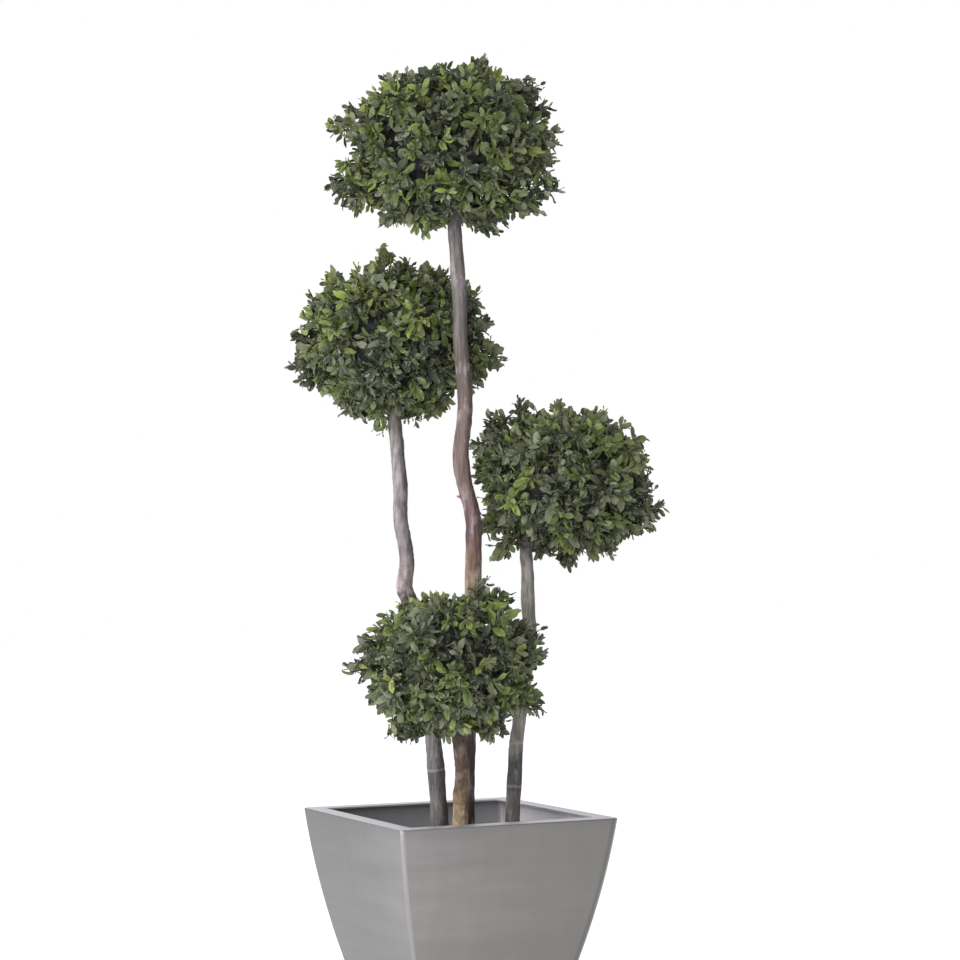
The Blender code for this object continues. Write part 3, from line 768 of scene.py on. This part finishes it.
HEADING_PLAY = 0.13
INNER_PLAY = 0.07
STRAY_PLAY = 0.10
TWIG_RADII = (0.0016, 0.0009)
FORK_SHARES = (0.45, 1.0)  # where twigs leave their bough
TWIG_BEND = 0.35
LEAVES_A_SPRIG = 8
LEAF_LENGTH = 0.030
LEAF_WIDTH = 0.46  # in leaf lengths, as all the leaf's sizes are
LEAF_SIZES = (0.72, 0.88, 1.0, 1.06, 1.06, 1.0, 0.94, 0.86)  # from the tip of a sprig downwards
LEAF_SPACING = 0.13
BARE_TIP = 0.66
SIZE_PLAY = 0.28
FIRST_SPREAD = math.radians(16)
SPREAD_STEP = math.radians(9.5)
SPREAD_PLAY = math.radians(18)
TURN_PLAY = 0.6
FACE_PLAY = 0.9
SPRIG_PLAY = 0.35  # how far a sprig turns from its twig's own heading
DROOP = 0.45
CORE_SHARE = 0.57
CORE_PITCH = 8
CORE_RELIEF = 0.14
TUBE_RINGS = 4
BOUGH_SIDES = 6
TWIG_SIDES = 4


class Ball(NamedTuple):
    name: str
    stem: Stem
    seed: int
    centre: tuple
    half: tuple  # half sizes across, back and up
    lit_crown_tints: tuple  # how common each of the leaf tints is at the top, lighter as painted light, in their order
    shaded_skirt_tints: tuple  # and at the bottom, darker and greyer as painted shade
    strays: tuple  # tips of the shoots that stand out, in millimetres from the centre
    stray_tints: tuple  # the leaf tint of each of these shoots, the darkest on many partly as painted shade of leaves seen against the light
    hollows: tuple  # places where leaves are thin and the dark inside shows, in millimetres; their leaves get the darkest tint as painted shade


STEM_TALL, STEM_LEFT, STEM_RIGHT, STEM_LOW = STEMS
BALLS = (
    Ball(
        "foliage_top", STEM_TALL, 11, (-0.021, 0.000, 1.629), (0.208, 0.200, 0.157),
        (0.07, 0.36, 0.29, 0.19, 0.04, 0.05), (0.24, 0.35, 0.18, 0.09, 0.02, 0.12),
        (
            (70, 10, 188), (-130, -21, 137), (188, -21, 124), (207, 21, 92), (141, -31, 121),
            (-200, 31, 90), (-230, -21, 42), (230, 10, 25), (223, -31, -95), (-234, 10, -71),
            (-218, -41, -110), (-191, 31, -115), (-124, -31, -161), (-52, -41, -183), (118, 31, -147),
            (97, -31, -181), (188, -10, -132), (-41, 221, 52), (103, 196, -93), (-134, 170, -82),
            (52, 165, 132),
        ),
        (0, 0, 0, 0, 0, 0, 3, 1, 0, 0, 0, 3, 0, 2, 0, 0, 0, 1, 0, 1, 2),
        (
            (-10, -179, -69), (-44, -194, 21), (29, -192, -38), (13, -196, 29), (-109, -163, -39),
            (134, -147, -33), (118, -135, -74),
        ),
    ),
    Ball(
        "foliage_left", STEM_LEFT, 25, (-0.122, 0.140, 1.288), (0.192, 0.184, 0.162),
        (0.02, 0.31, 0.32, 0.28, 0.05, 0.02), (0.22, 0.30, 0.16, 0.10, 0.02, 0.20),
        (
            (-30, -21, 193), (23, 21, 175), (-137, -21, 140), (95, 21, 150), (170, 10, 99), (-180, 10, 89),
            (-211, -21, -1), (194, -10, 30), (225, 10, -42), (184, -21, -73), (-211, -10, -62),
            (-205, 31, -82), (-108, -31, -159), (-70, 0, -170), (-24, -41, -198), (78, -21, -166),
            (43, 31, -173), (-21, 204, -41), (124, 154, 82), (-124, 165, 41),
        ),
        (3, 0, 3, 1, 1, 0, 0, 0, 1, 1, 0, 0, 5, 5, 2, 1, 1, 0, 2, 1),
        (
            (82, -147, -68), (82, -159, 42), (-48, -166, -57), (-9, -177, 45), (-63, -173, 14),
            (-12, -142, -103),
        ),
    ),
    Ball(
        "foliage_right", STEM_RIGHT, 37, (0.198, 0.070, 1.011), (0.174, 0.168, 0.148),
        (0.03, 0.28, 0.28, 0.20, 0.03, 0.18), (0.14, 0.24, 0.12, 0.06, 0.02, 0.42),
        (
            (-92, -21, 162), (-9, 10, 161), (-153, 21, 137), (82, -21, 142), (162, -10, 89), (172, 21, 39),
            (-182, 21, 81), (-180, -10, 47), (-178, -10, 13), (204, 0, -53), (184, -31, -19),
            (182, 10, -89), (-168, 10, -108), (-146, -21, -150), (147, 10, -111), (95, -21, -150),
            (9, -31, -176), (-55, 21, -154), (68, 21, -153), (21, 187, 31), (-82, 154, -62), (113, 144, 52),
        ),
        (0, 2, 0, 2, 2, 2, 0, 1, 0, 0, 0, 0, 1, 3, 0, 0, 0, 5, 2, 0, 1, 2),
        (
            (-111, -128, 18), (20, -159, -45), (-41, -157, 38), (23, -127, -94), (-74, -90, -108),
            (82, -147, -17),
        ),
    ),
    Ball(
        "foliage_low", STEM_LOW, 53, (-0.013, -0.140, 0.677), (0.168, 0.160, 0.136),
        (0.04, 0.29, 0.24, 0.14, 0.04, 0.25), (0.11, 0.26, 0.15, 0.07, 0.03, 0.38),
        (
            (72, -10, 158), (118, 21, 138), (181, -10, 66), (-180, 21, 36), (-193, -21, -12), (183, 10, 20),
            (174, -21, -66), (180, 10, -90), (-141, 21, -68), (-111, -21, -139), (-82, -41, -145),
            (-56, 21, -144), (-5, 0, -148), (82, -41, -141), (106, 21, -139), (-35, 10, 136),
            (21, -180, -21), (-72, -154, 62), (62, 165, 31), (-82, 149, 21),
        ),
        (0, 0, 0, 0, 0, 1, 1, 0, 0, 1, 0, 1, 1, 0, 0, 3, 1, 5, 0, 1),
        (
            (39, -156, 3), (78, -127, -54), (-35, -152, -32), (78, -115, 70), (-69, -146, -6),
            (31, -141, 58),
        ),
    ),
)


def unit(vectors):
    return vectors / np.linalg.norm(vectors, axis=-1, keepdims=True)


def even_directions(count):
    """Unit vectors spread evenly over a sphere."""
    i = np.arange(count)
    up = 1 - (2 * i + 1) / count
    flat = np.sqrt(1 - up * up)
    return np.stack([flat * np.cos(i * GOLDEN_ANGLE), flat * np.sin(i * GOLDEN_ANGLE), up], axis=1)


def jittered(headings, play, rng):
    return unit(headings + play * unit(rng.normal(size=headings.shape)))


class Reach:
    """How far from its centre a ball's leaves may reach in any direction."""

    def __init__(self, ball):
        rng = random.Random(ball.seed)
        self.half = np.array(ball.half)
        self.strays = np.array(ball.strays) / 1000
        axes, phases = [], []
        for _ in range(LUMP_WAVES):
            axes.append(Vector([rng.gauss(0, 1) for _ in range(3)]).normalized())
            phases.append(rng.uniform(0, math.tau))
        self.axes = np.array(axes)
        self.phases = np.array(phases)
        count = round(4 * math.pi * (sum(ball.half) / 3) ** 2 * TUFTS_A_SQUARE_METRE)
        tuft_rng = np.random.default_rng(ball.seed + 1)
        self.tufts = unit(tuft_rng.normal(size=(count, 3)))
        self.tuft_heights = tuft_rng.uniform(*TUFT_HEIGHTS, count)

    def clipped(self, headings):
        """The clipped face: a rounded box between an ellipsoid and its bounding block, with soft lumps."""
        total = ((np.abs(headings) / self.half) ** ROUNDNESS).sum(axis=-1)
        lumps = np.sin(LUMP_PITCH * headings @ self.axes.T + self.phases).sum(axis=-1)
        return total ** (-1 / ROUNDNESS) * (1 + LUMP_DEPTH * (lumps / LUMP_WAVES - LUMP_BIAS))

    def furthest(self, headings):
        """The clipped face with its new tufts, or the tip of a stray shoot that leads this way."""
        reach = self.clipped(headings)
        growth = np.zeros(reach.shape)
        for tuft, height in zip(self.tufts, self.tuft_heights):
            off = np.arccos(np.clip(headings @ tuft, -1, 1)) / TUFT_SPREAD
            growth = np.maximum(growth, height * (1 - off * off))
        reach = reach * (1 + growth)
        for stray in self.strays:
            cosine = np.clip(headings @ unit(stray), -1, 1)
            off = np.minimum(1, np.arccos(cosine) / STRAY_SPREAD)
            tip = np.linalg.norm(stray) * (1 - STRAY_LOSS * off * off)
            reach = np.where(off < 1, np.maximum(reach, tip), reach)
        return reach

    def holds(self, points):
        return np.linalg.norm(points, axis=-1) <= self.furthest(unit(points))


def limb_pieces(ball):
    """The pieces of all stems that run near a ball, from its centre: (low end, high end, radius)."""
    centre = Vector(ball.centre)
    for stem in STEMS:
        rings = stem_rings(stem, LIMB_SPACING)
        for (low, low_radius), (high, high_radius) in zip(rings, rings[1:]):
            if (low - centre).length < max(ball.half) + 2 * LIMB_SPACING:
                yield np.array(low - centre), np.array(high - centre), max(low_radius, high_radius)


def clear_of_limbs(points, limbs):
    """Which points keep off every stem."""
    clear = np.ones(points.shape[:-1], bool)
    for low, high, radius in limbs:
        along = high - low
        share = np.clip((points - low) @ along / (along @ along), 0, 1)
        away = np.linalg.norm(points - low - share[..., None] * along, axis=-1)
        clear &= away > radius + LIMB_CLEARANCE
    return clear


def bent(starts, controls, ends, share):
    """Points a share of the way along limbs that bend towards their controls."""
    return (1 - share) ** 2 * starts + 2 * share * (1 - share) * controls + share**2 * ends


def tube_corners(starts, controls, ends, radii, sides):
    """Corners of many bent, tapering limbs: limbs, corners and axes."""
    shares = np.linspace(0, 1, TUBE_RINGS)[None, :, None]
    path = bent(starts[:, None], controls[:, None], ends[:, None], shares)
    along = unit(ends - starts)
    helper = np.eye(3)[np.abs(along).argmin(axis=1)]
    side = unit(np.cross(along, helper))
    up = np.cross(along, side)
    angles = np.arange(sides)[None, :, None] * math.tau / sides
    ring = np.cos(angles) * side[:, None] + np.sin(angles) * up[:, None]
    radius = radii[0] + (radii[1] - radii[0]) * shares
    corners = path[:, :, None] + radius[..., None] * ring[:, None]
    return corners.reshape(len(starts), TUBE_RINGS * sides, 3)


def tube_faces(sides):
    faces = [tuple(reversed(range(sides))), tuple(range((TUBE_RINGS - 1) * sides, TUBE_RINGS * sides))]
    for ring in range(TUBE_RINGS - 1):
        for i in range(sides):
            j = (i + 1) % sides
            low, high = ring * sides, (ring + 1) * sides
            faces.append((low + i, low + j, high + j, high + i))
    return faces


# One leaf: a six-sided ball pressed flat, root at the origin and tip along +X. Four strips make its
# upper face, with a crease for the midrib, and two the lower. Each kind curls and folds differently.
LEAF_STATIONS = (0.0, 0.12, 0.34, 0.58, 0.80, 0.94, 1.0)  # of its rings, from root to tip
LEAF_PROFILE = (1.05, 0.70)  # powers that set where it is widest, and how blunt its tip is
LEAF_COLUMNS = ((1, 0), (0.5, 1), (0, 0.2), (-0.5, 1), (-1, 0), (0, -1))  # (share across, up or down)
LEAF_THICKNESS = 0.016
RIPPLE_PITCH = 9  # radians along a leaf
LEAF_KINDS = (
    # curl down to the tip, height of the fold's shoulders, twist in radians, ripple
    (0.16, 0.075, 0.1, 0.05),
    (0.36, 0.060, 0.7, 0.06),
    (-0.12, 0.100, -0.5, 0.07),
    (0.26, 0.035, -0.9, -0.08),
    (0.52, 0.085, 0.3, 0.04),
    (0.06, 0.030, 0.8, -0.07),
)
SHARP_MARGIN = math.radians(65)

bpy.ops.object.select_all(action="DESELECT")
bpy.ops.mesh.primitive_uv_sphere_add(segments=6, ring_count=6, radius=1)
leaf = bpy.context.object
leaf_faces = [tuple(face.vertices) for face in leaf.data.polygons]
ball_points = np.array([vert.co for vert in leaf.data.vertices])
bpy.data.objects.remove(leaf)
station = np.rint(6 - np.degrees(np.arccos(np.clip(ball_points[:, 2], -1, 1))) / 30).astype(int)
column = np.rint(np.degrees(np.arctan2(ball_points[:, 1], ball_points[:, 0])) / 60).astype(int) % 6
at_pole = (station == 0) | (station == 6)
leaf_under = np.array([any(column[i] == 5 and not at_pole[i] for i in face) for face in leaf_faces])


def leaf_corners(curl, shoulder, twist, ripple):
    """A leaf one unit long."""
    along = np.array(LEAF_STATIONS)[station]
    rise, fall = LEAF_PROFILE
    widest = rise / (rise + fall)
    outline = along**rise * (1 - along) ** fall / (widest**rise * (1 - widest) ** fall)
    half_width = LEAF_WIDTH / 2 * outline
    share, lift = np.array(LEAF_COLUMNS)[column].T
    across = share * half_width
    up = np.where(lift > 0, lift * (shoulder * outline + LEAF_THICKNESS / 2), lift * LEAF_THICKNESS / 2)
    up = up - curl * along**2 + ripple * np.sin(along * RIPPLE_PITCH + share) * np.abs(share)
    angle = twist * along
    y = across * np.cos(angle) - up * np.sin(angle)
    z = across * np.sin(angle) + up * np.cos(angle)
    return np.stack([along, y, z], axis=1)


leaf_kinds = np.array([leaf_corners(*kind) for kind in LEAF_KINDS])

# Pittosporum leaves, preserved in glycerine and dyed: leathery, with a soft gloss above and a paler,
# duller face below. Each tint is one plain colour with fine mottling, and a spray has mostly one tint.
LEAF_TINTS = ("#424938", "#5b693a", "#6d7a3f", "#7e8c45", "#909c57", "#5e6650")
UNDERSIDE = "#777c62"
TINT_LOYALTY = 0.6  # share of a cluster's sprigs that keep its own tint
leaf_materials = [
    mottled(f"preserved_leaf_{number}", tint, 160, 0.45, 0.25, 0.0006, 0.48, 0.22)
    for number, tint in enumerate(LEAF_TINTS)
]
underside = mottled("preserved_leaf_underside", UNDERSIDE, 160, 0.45, 0.25, 0.0006, 0.62, 0.3)
leaf_materials.append(underside)

# Young pittosporum wood, dried: thin brown bark with a green cast
twig_bark, shader = new_material("twig_bark_dried")
coords = add_node(twig_bark, "TexCoord").outputs["Object"]
flecks = add_node(twig_bark, "TexNoise", Vector=coords, Scale=240, Detail=4)
tones = ((0.3, "#3a3226"), (0.7, "#6d604a"))
twig_colour = add_node(twig_bark, "ValToRGB", stops=tones, Fac=flecks)
twig_relief = add_node(twig_bark, "Bump", Strength=0.4, Distance=0.0006, Height=flecks)
settle(shader, Roughness=0.75, Base_Color=twig_colour, Normal=twig_relief)

# The inside of a clipped head: a mat of dead twigs and old leaves that light hardly reaches; its dark
# blue-grey is painted shade
inner_mat, shader = new_material("inner_twig_mat")
coords = add_node(inner_mat, "TexCoord").outputs["Object"]
tangle = add_node(inner_mat, "TexNoise", Vector=coords, Scale=130, Detail=5, Distortion=1.5)
tones = ((0.35, "#36353d"), (0.7, "#53534c"))
mat_shade_colour = add_node(inner_mat, "ValToRGB", stops=tones, Fac=tangle)
mat_relief = add_node(inner_mat, "Bump", Strength=0.9, Distance=0.004, Height=tangle)
settle(shader, Roughness=0.95, Specular_IOR_Level=0.1, Base_Color=mat_shade_colour, Normal=mat_relief)


def finish_growth(name, mesh, ball, slot, materials):
    """Puts a piece that grew round a ball's centre in its place on the plant."""
    mesh.transform(Matrix.Rotation(PLANT_TURN, 4, "Z") @ Matrix.Translation(ball.centre))
    mesh.shade_smooth()
    mesh.set_sharp_from_angle(angle=SHARP_MARGIN)
    piece = place_in_scene(name, mesh)
    for material in materials:
        mesh.materials.append(material)
    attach(piece, "root")
    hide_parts(ball.name)


def grow_leaves(sprigs, reach, limbs, rng):
    """All the leaves of a set of sprigs: their corners, and the number of the sprig that each is on."""
    ends, along, lengths = sprigs
    count = len(ends)
    order = np.arange(LEAVES_A_SPRIG)
    helper = np.eye(3)[np.abs(along).argmin(axis=1)]
    side = unit(np.cross(along, helper))[:, None]
    other_side = np.cross(along[:, None], side)
    turn = order * GOLDEN_ANGLE + rng.uniform(0, math.tau, (count, 1))
    turn = (turn + rng.uniform(-TURN_PLAY, TURN_PLAY, (count, LEAVES_A_SPRIG)))[..., None]
    radial = np.cos(turn) * side + np.sin(turn) * other_side
    spread = FIRST_SPREAD + SPREAD_STEP * order
    spread = (spread + rng.uniform(-SPREAD_PLAY, SPREAD_PLAY, (count, LEAVES_A_SPRIG)))[..., None]
    stem_way = along[:, None] * np.ones((1, LEAVES_A_SPRIG, 1))
    pointing = stem_way * np.cos(spread) + radial * np.sin(spread)
    pointing[..., 2] -= DROOP * order / LEAVES_A_SPRIG
    pointing = unit(pointing)
    size = lengths[:, None] * np.array(LEAF_SIZES) * rng.uniform(1 - SIZE_PLAY, 1, (count, LEAVES_A_SPRIG))
    start = ends[:, None] - stem_way * (LEAF_SPACING * order * lengths[:, None])[..., None]
    face = stem_way + FACE_PLAY * unit(rng.normal(size=stem_way.shape))
    across = unit(np.cross(face, pointing))
    axes = np.stack([pointing, across, np.cross(pointing, across)], axis=-2)
    kinds = rng.integers(0, len(leaf_kinds), (count, LEAVES_A_SPRIG))
    corners = start[..., None, :] + size[..., None, None] * (leaf_kinds[kinds] @ axes)
    kept = (reach.holds(corners) & clear_of_limbs(corners, limbs)).all(axis=-1)
    owner = np.repeat(np.arange(count), LEAVES_A_SPRIG).reshape(kept.shape)
    return corners[kept], owner[kept]


def dealt_tints(ball, places, rng):
    """A leaf tint for each place: the higher it is, the likelier it is one of the crown's lighter tints,
    which with the skirt's darker ones are painted light and shade.
    """
    crown = rng.choice(len(LEAF_TINTS), len(places), p=ball.lit_crown_tints)
    skirt = rng.choice(len(LEAF_TINTS), len(places), p=ball.shaded_skirt_tints)
    height = 0.5 + 0.5 * places[:, 2] / ball.half[2]
    return np.where(rng.random(len(places)) < height, crown, skirt)


def leaves_mesh(name, corners, tints):
    mesh = mesh_of_copies(name, corners, leaf_faces)
    faces = np.where(leaf_under, len(LEAF_TINTS), tints[:, None])
    mesh.polygons.foreach_set("material_index", faces.ravel().astype(np.int32))
    return mesh


for ball in BALLS:
    rng = np.random.default_rng(ball.seed)
    reach = Reach(ball)
    limbs = list(limb_pieces(ball))
    area = 4 * math.pi * (sum(ball.half) / 3) ** 2
    own_foot = np.array(ball.stem.route[-1]) + (0, 0, GAP) - ball.centre

    # The ball's own stem and its boughs
    bough_headings = jittered(even_directions(round(area * BOUGHS_A_SQUARE_METRE)), HEADING_PLAY, rng)
    bough_ends = bough_headings * (reach.clipped(bough_headings) * BOUGH_SHARE)[:, None]
    bough_roots = own_foot * np.maximum(0, LOW_ROOT * bough_ends[:, 2] / own_foot[2])[:, None]
    bough_bends = (bough_roots + bough_ends) / 2
    bough_bends[:, 2] += BOUGH_LIFT * np.linalg.norm(bough_ends - bough_roots, axis=1)
    boughs = tube_corners(bough_roots, bough_bends, bough_ends, BOUGH_RADII, BOUGH_SIDES)
    own_stem_radii = (ball.stem.tip_radius, ball.stem.tip_radius * OWN_STEM_TAPER)
    own_route = (own_foot[None], own_foot[None] / 2, np.zeros((1, 3)))
    own_stem = tube_corners(*own_route, own_stem_radii, BOUGH_SIDES)
    limb_corners = np.concatenate([own_stem, boughs])
    wood = mesh_of_copies(ball.name + "_boughs", limb_corners, tube_faces(BOUGH_SIDES))
    finish_growth(ball.name + "_boughs", wood, ball, ball.stem.slot, [twig_bark])

    # Sprigs grow in clusters, each of its own vigour and tint
    clusters = jittered(even_directions(round(area * CLUSTERS_A_SQUARE_METRE)), HEADING_PLAY, rng)
    vigour = rng.uniform(*VIGOUR, len(clusters))
    cluster_tints = dealt_tints(ball, clusters * reach.clipped(clusters)[:, None], rng)
    # Deep clusters and hollows get the darkest tint, as painted shade
    cluster_tints[vigour < DEEP_VIGOUR] = 0
    clusters = np.concatenate([clusters, unit(np.array(ball.hollows) / 1000)])
    vigour = np.append(vigour, [HOLLOW_VIGOUR] * len(ball.hollows))
    cluster_tints = np.append(cluster_tints, [0] * len(ball.hollows))

    # Headings of all sprigs: stray shoots first, then those of the clipped face, then the inner ones
    stray_headings = np.repeat(unit(reach.strays), len(STRAY_SHARES), axis=0)
    stray_play = np.tile([[0.0], *[[STRAY_PLAY]] * (len(STRAY_SHARES) - 1)], (len(ball.strays), 1))
    outer_headings = even_directions(round(area * OUTER_SPRIGS_A_SQUARE_METRE))
    inner_headings = even_directions(round(area * INNER_SPRIGS_A_SQUARE_METRE))
    headings = np.concatenate(
        [
            jittered(stray_headings, stray_play, rng),
            jittered(outer_headings, HEADING_PLAY, rng),
            jittered(inner_headings, INNER_PLAY, rng),
        ]
    )
    nearest = (headings @ bough_headings.T).argmax(axis=1)
    cluster = (headings @ clusters.T).argmax(axis=1)
    strays, outers, inners = len(stray_headings), len(outer_headings), len(inner_headings)
    depth = np.where(vigour[cluster[strays + outers :]] < VIGOUR[0], HOLLOW_VIGOUR, 1)
    shares = np.concatenate(
        [
            np.tile(STRAY_SHARES, len(ball.strays)),
            rng.uniform(*OUTER_SHARES, outers) * vigour[cluster[strays : strays + outers]],
            rng.uniform(*INNER_SHARES, inners) * depth,
        ]
    )
    number = np.arange(len(headings))
    parts = (
        ("shoots", number < strays),
        ("outer", (number >= strays) & (number < strays + outers)),
        ("inner", number >= strays + outers),
    )

    # Twigs fork from the nearest bough and bend towards their sprig's tip
    lengths = LEAF_LENGTH * rng.uniform(1 - SIZE_PLAY, 1 + SIZE_PLAY, len(headings))
    ends = headings * (reach.furthest(headings) * shares - lengths * BARE_TIP)[:, None]
    fork = rng.uniform(*FORK_SHARES, (len(headings), 1))
    starts = bent(bough_roots[nearest], bough_bends[nearest], bough_ends[nearest], fork)
    spans = np.linalg.norm(ends - starts, axis=1, keepdims=True)
    bends = starts + bough_headings[nearest] * spans * TWIG_BEND
    twigs = tube_corners(starts, bends, ends, TWIG_RADII, TWIG_SIDES)
    grown = clear_of_limbs(twigs, limbs).all(axis=1)
    mesh = mesh_of_copies(ball.name + "_twigs", twigs[grown], tube_faces(TWIG_SIDES))
    finish_growth(ball.name + "_twigs", mesh, ball, ball.stem.slot, [twig_bark])

    # Leaves, in three pieces: those of the stray shoots, of the clipped face and inside
    # Sprigs in hollows always keep the darkest tint, as painted shade
    loyal = (rng.random(len(headings)) < TINT_LOYALTY) | (vigour[cluster] < VIGOUR[0])
    tints = np.where(loyal, cluster_tints[cluster], dealt_tints(ball, ends, rng))
    tints[:strays] = np.repeat(ball.stray_tints, len(STRAY_SHARES))
    sprig_ways = jittered(unit(ends - bends), SPRIG_PLAY, rng)
    for part, members in parts:
        chosen = grown & members
        sprigs = (ends[chosen], sprig_ways[chosen], lengths[chosen])
        corners, owner = grow_leaves(sprigs, reach, limbs, rng)
        name = f"{ball.name}_leaves_{part}"
        mesh = leaves_mesh(name, corners, tints[chosen][owner])
        finish_growth(name, mesh, ball, "foliage", leaf_materials)

    # The mat inside, a lumpy ball that closes the view through
    bpy.ops.object.select_all(action="DESELECT")
    bpy.ops.mesh.primitive_ico_sphere_add(subdivisions=5, radius=1)
    mat = bpy.context.object
    mesh = mat.data.copy()
    bpy.data.objects.remove(mat)
    mat_headings = np.array([vert.co for vert in mesh.vertices])
    lumps = [noise.fractal(Vector(heading) * CORE_PITCH, 0.8, 2.0, 4) for heading in mat_headings]
    mat_reach = reach.clipped(unit(mat_headings)) * CORE_SHARE * (1 + CORE_RELIEF * np.array(lumps))
    mesh.vertices.foreach_set("co", (mat_headings * mat_reach[:, None]).ravel())
    finish_growth(ball.name + "_mat", mesh, ball, "foliage", [inner_mat])


# Studio: a plain pale floor in soft light, and the camera where the photograph was taken from, which
# sees the planter turned a little to its right and its foot below the picture's edge.
CAMERA_PLACE = (-1.6684, -3.2880, 0.7891)
CAMERA_PITCH = math.radians(3.415)
CAMERA_TURN = math.radians(-27.553)
CAMERA_LENS = 75
FLOOR_SIZE = 60
FLOOR_WHITE = "#eeeeee"
FLOOR_GLOW = 0.34  # light that shines through it from below
LAMPS = (
    # name, place, width and height, power
    ("softbox", (-1.9, -0.4, 1.25), (1.0, 2.2), 28),
    ("fill", (-2.3, -3.1, 1.2), (1.4, 1.4), 22),
)
BRIGHT_SIDE = (-0.55, 0.42, 0.68)  # the way to the room's windows
ROOM_DARKEST = 0.30
ROOM_BRIGHTEST = 1.32
WINDOW_TONE = "#f2f0ff"
ROOM_TONE = "#f9f8f3"
CURTAIN_SIDE = (0.86, 0.50, 0.0)  # the way to a dark curtain, which gives the steel a dark edge
CURTAIN_SPAN = (0.84, 0.94)  # cosines of the angles from there to the curtain's soft edge
CURTAIN_SHADE = 0.05
WHITE = "#ffffff"

camera = bpy.data.cameras.new("camera")
camera.lens = CAMERA_LENS
camera_object = place_in_scene("camera", camera)
camera_object.location = CAMERA_PLACE
camera_object.rotation_euler = (math.pi / 2 + CAMERA_PITCH, 0, CAMERA_TURN)
bpy.context.scene.camera = camera_object

bpy.ops.object.select_all(action="DESELECT")
bpy.ops.mesh.primitive_plane_add(size=FLOOR_SIZE)
floor_sheet = bpy.context.object
floor_sheet.name = "floor"
# White acrylic sheet, matt, lit a little from below so that the plant casts no grey on it
floor_paint, shader = new_material("acrylic_sheet_lit")
settle(shader, Base_Color=FLOOR_WHITE, Roughness=0.9, Emission_Color=WHITE, Emission_Strength=FLOOR_GLOW)
floor_sheet.data.materials.append(floor_paint)

for lamp_name, place, lamp_size, power in LAMPS:
    lamp = bpy.data.lights.new(lamp_name, "AREA")
    lamp.shape = "RECTANGLE"
    lamp.size, lamp.size_y = lamp_size
    lamp.energy = power
    lamp_object = place_in_scene(lamp_name, lamp)
    lamp_object.location = place
    lamp_object.rotation_euler = Vector((*place[:2], 0)).to_track_quat("Z", "Y").to_euler()
    lamp_object.visible_camera = False

world = bpy.data.worlds.new("studio")
bpy.context.scene.world = world
world.use_nodes = True
ray_way = add_node(world, "TexCoord").outputs["Generated"]
bright_way = Vector(BRIGHT_SIDE).normalized()
window_side = add_node(world, "VectorMath", operation="DOT_PRODUCT", Vector=ray_way, Vector_001=bright_way)
window_share = add_node(world, "MapRange", Value=window_side, From_Min=-1)
room_light = add_node(world, "MapRange", Value=window_share, To_Min=ROOM_DARKEST, To_Max=ROOM_BRIGHTEST)
curtain_way = Vector(CURTAIN_SIDE).normalized()
curtain_side = add_node(
    world, "VectorMath", operation="DOT_PRODUCT", Vector=ray_way, Vector_001=curtain_way
)
low, high = CURTAIN_SPAN
curtain = add_node(
    world, "MapRange", Value=curtain_side, From_Min=low, From_Max=high, To_Min=1, To_Max=CURTAIN_SHADE
)
curtained_light = add_node(world, "Math", operation="MULTIPLY", Value=room_light, Value_001=curtain)
room_tone = add_node(world, "Mix", **MIX, Factor_Float=window_share, A_Color=ROOM_TONE, B_Color=WINDOW_TONE)
camera_rays = add_node(world, "LightPath").outputs["Is Camera Ray"]
brightness = add_node(world, "MapRange", Value=camera_rays, To_Min=curtained_light)
tone = add_node(world, "Mix", **MIX, Factor_Float=camera_rays, A_Color=room_tone, B_Color=WHITE)
settle(world.node_tree.nodes["Background"], Color=tone, Strength=brightness)
bpy.context.scene.view_settings.view_transform = "Standard"
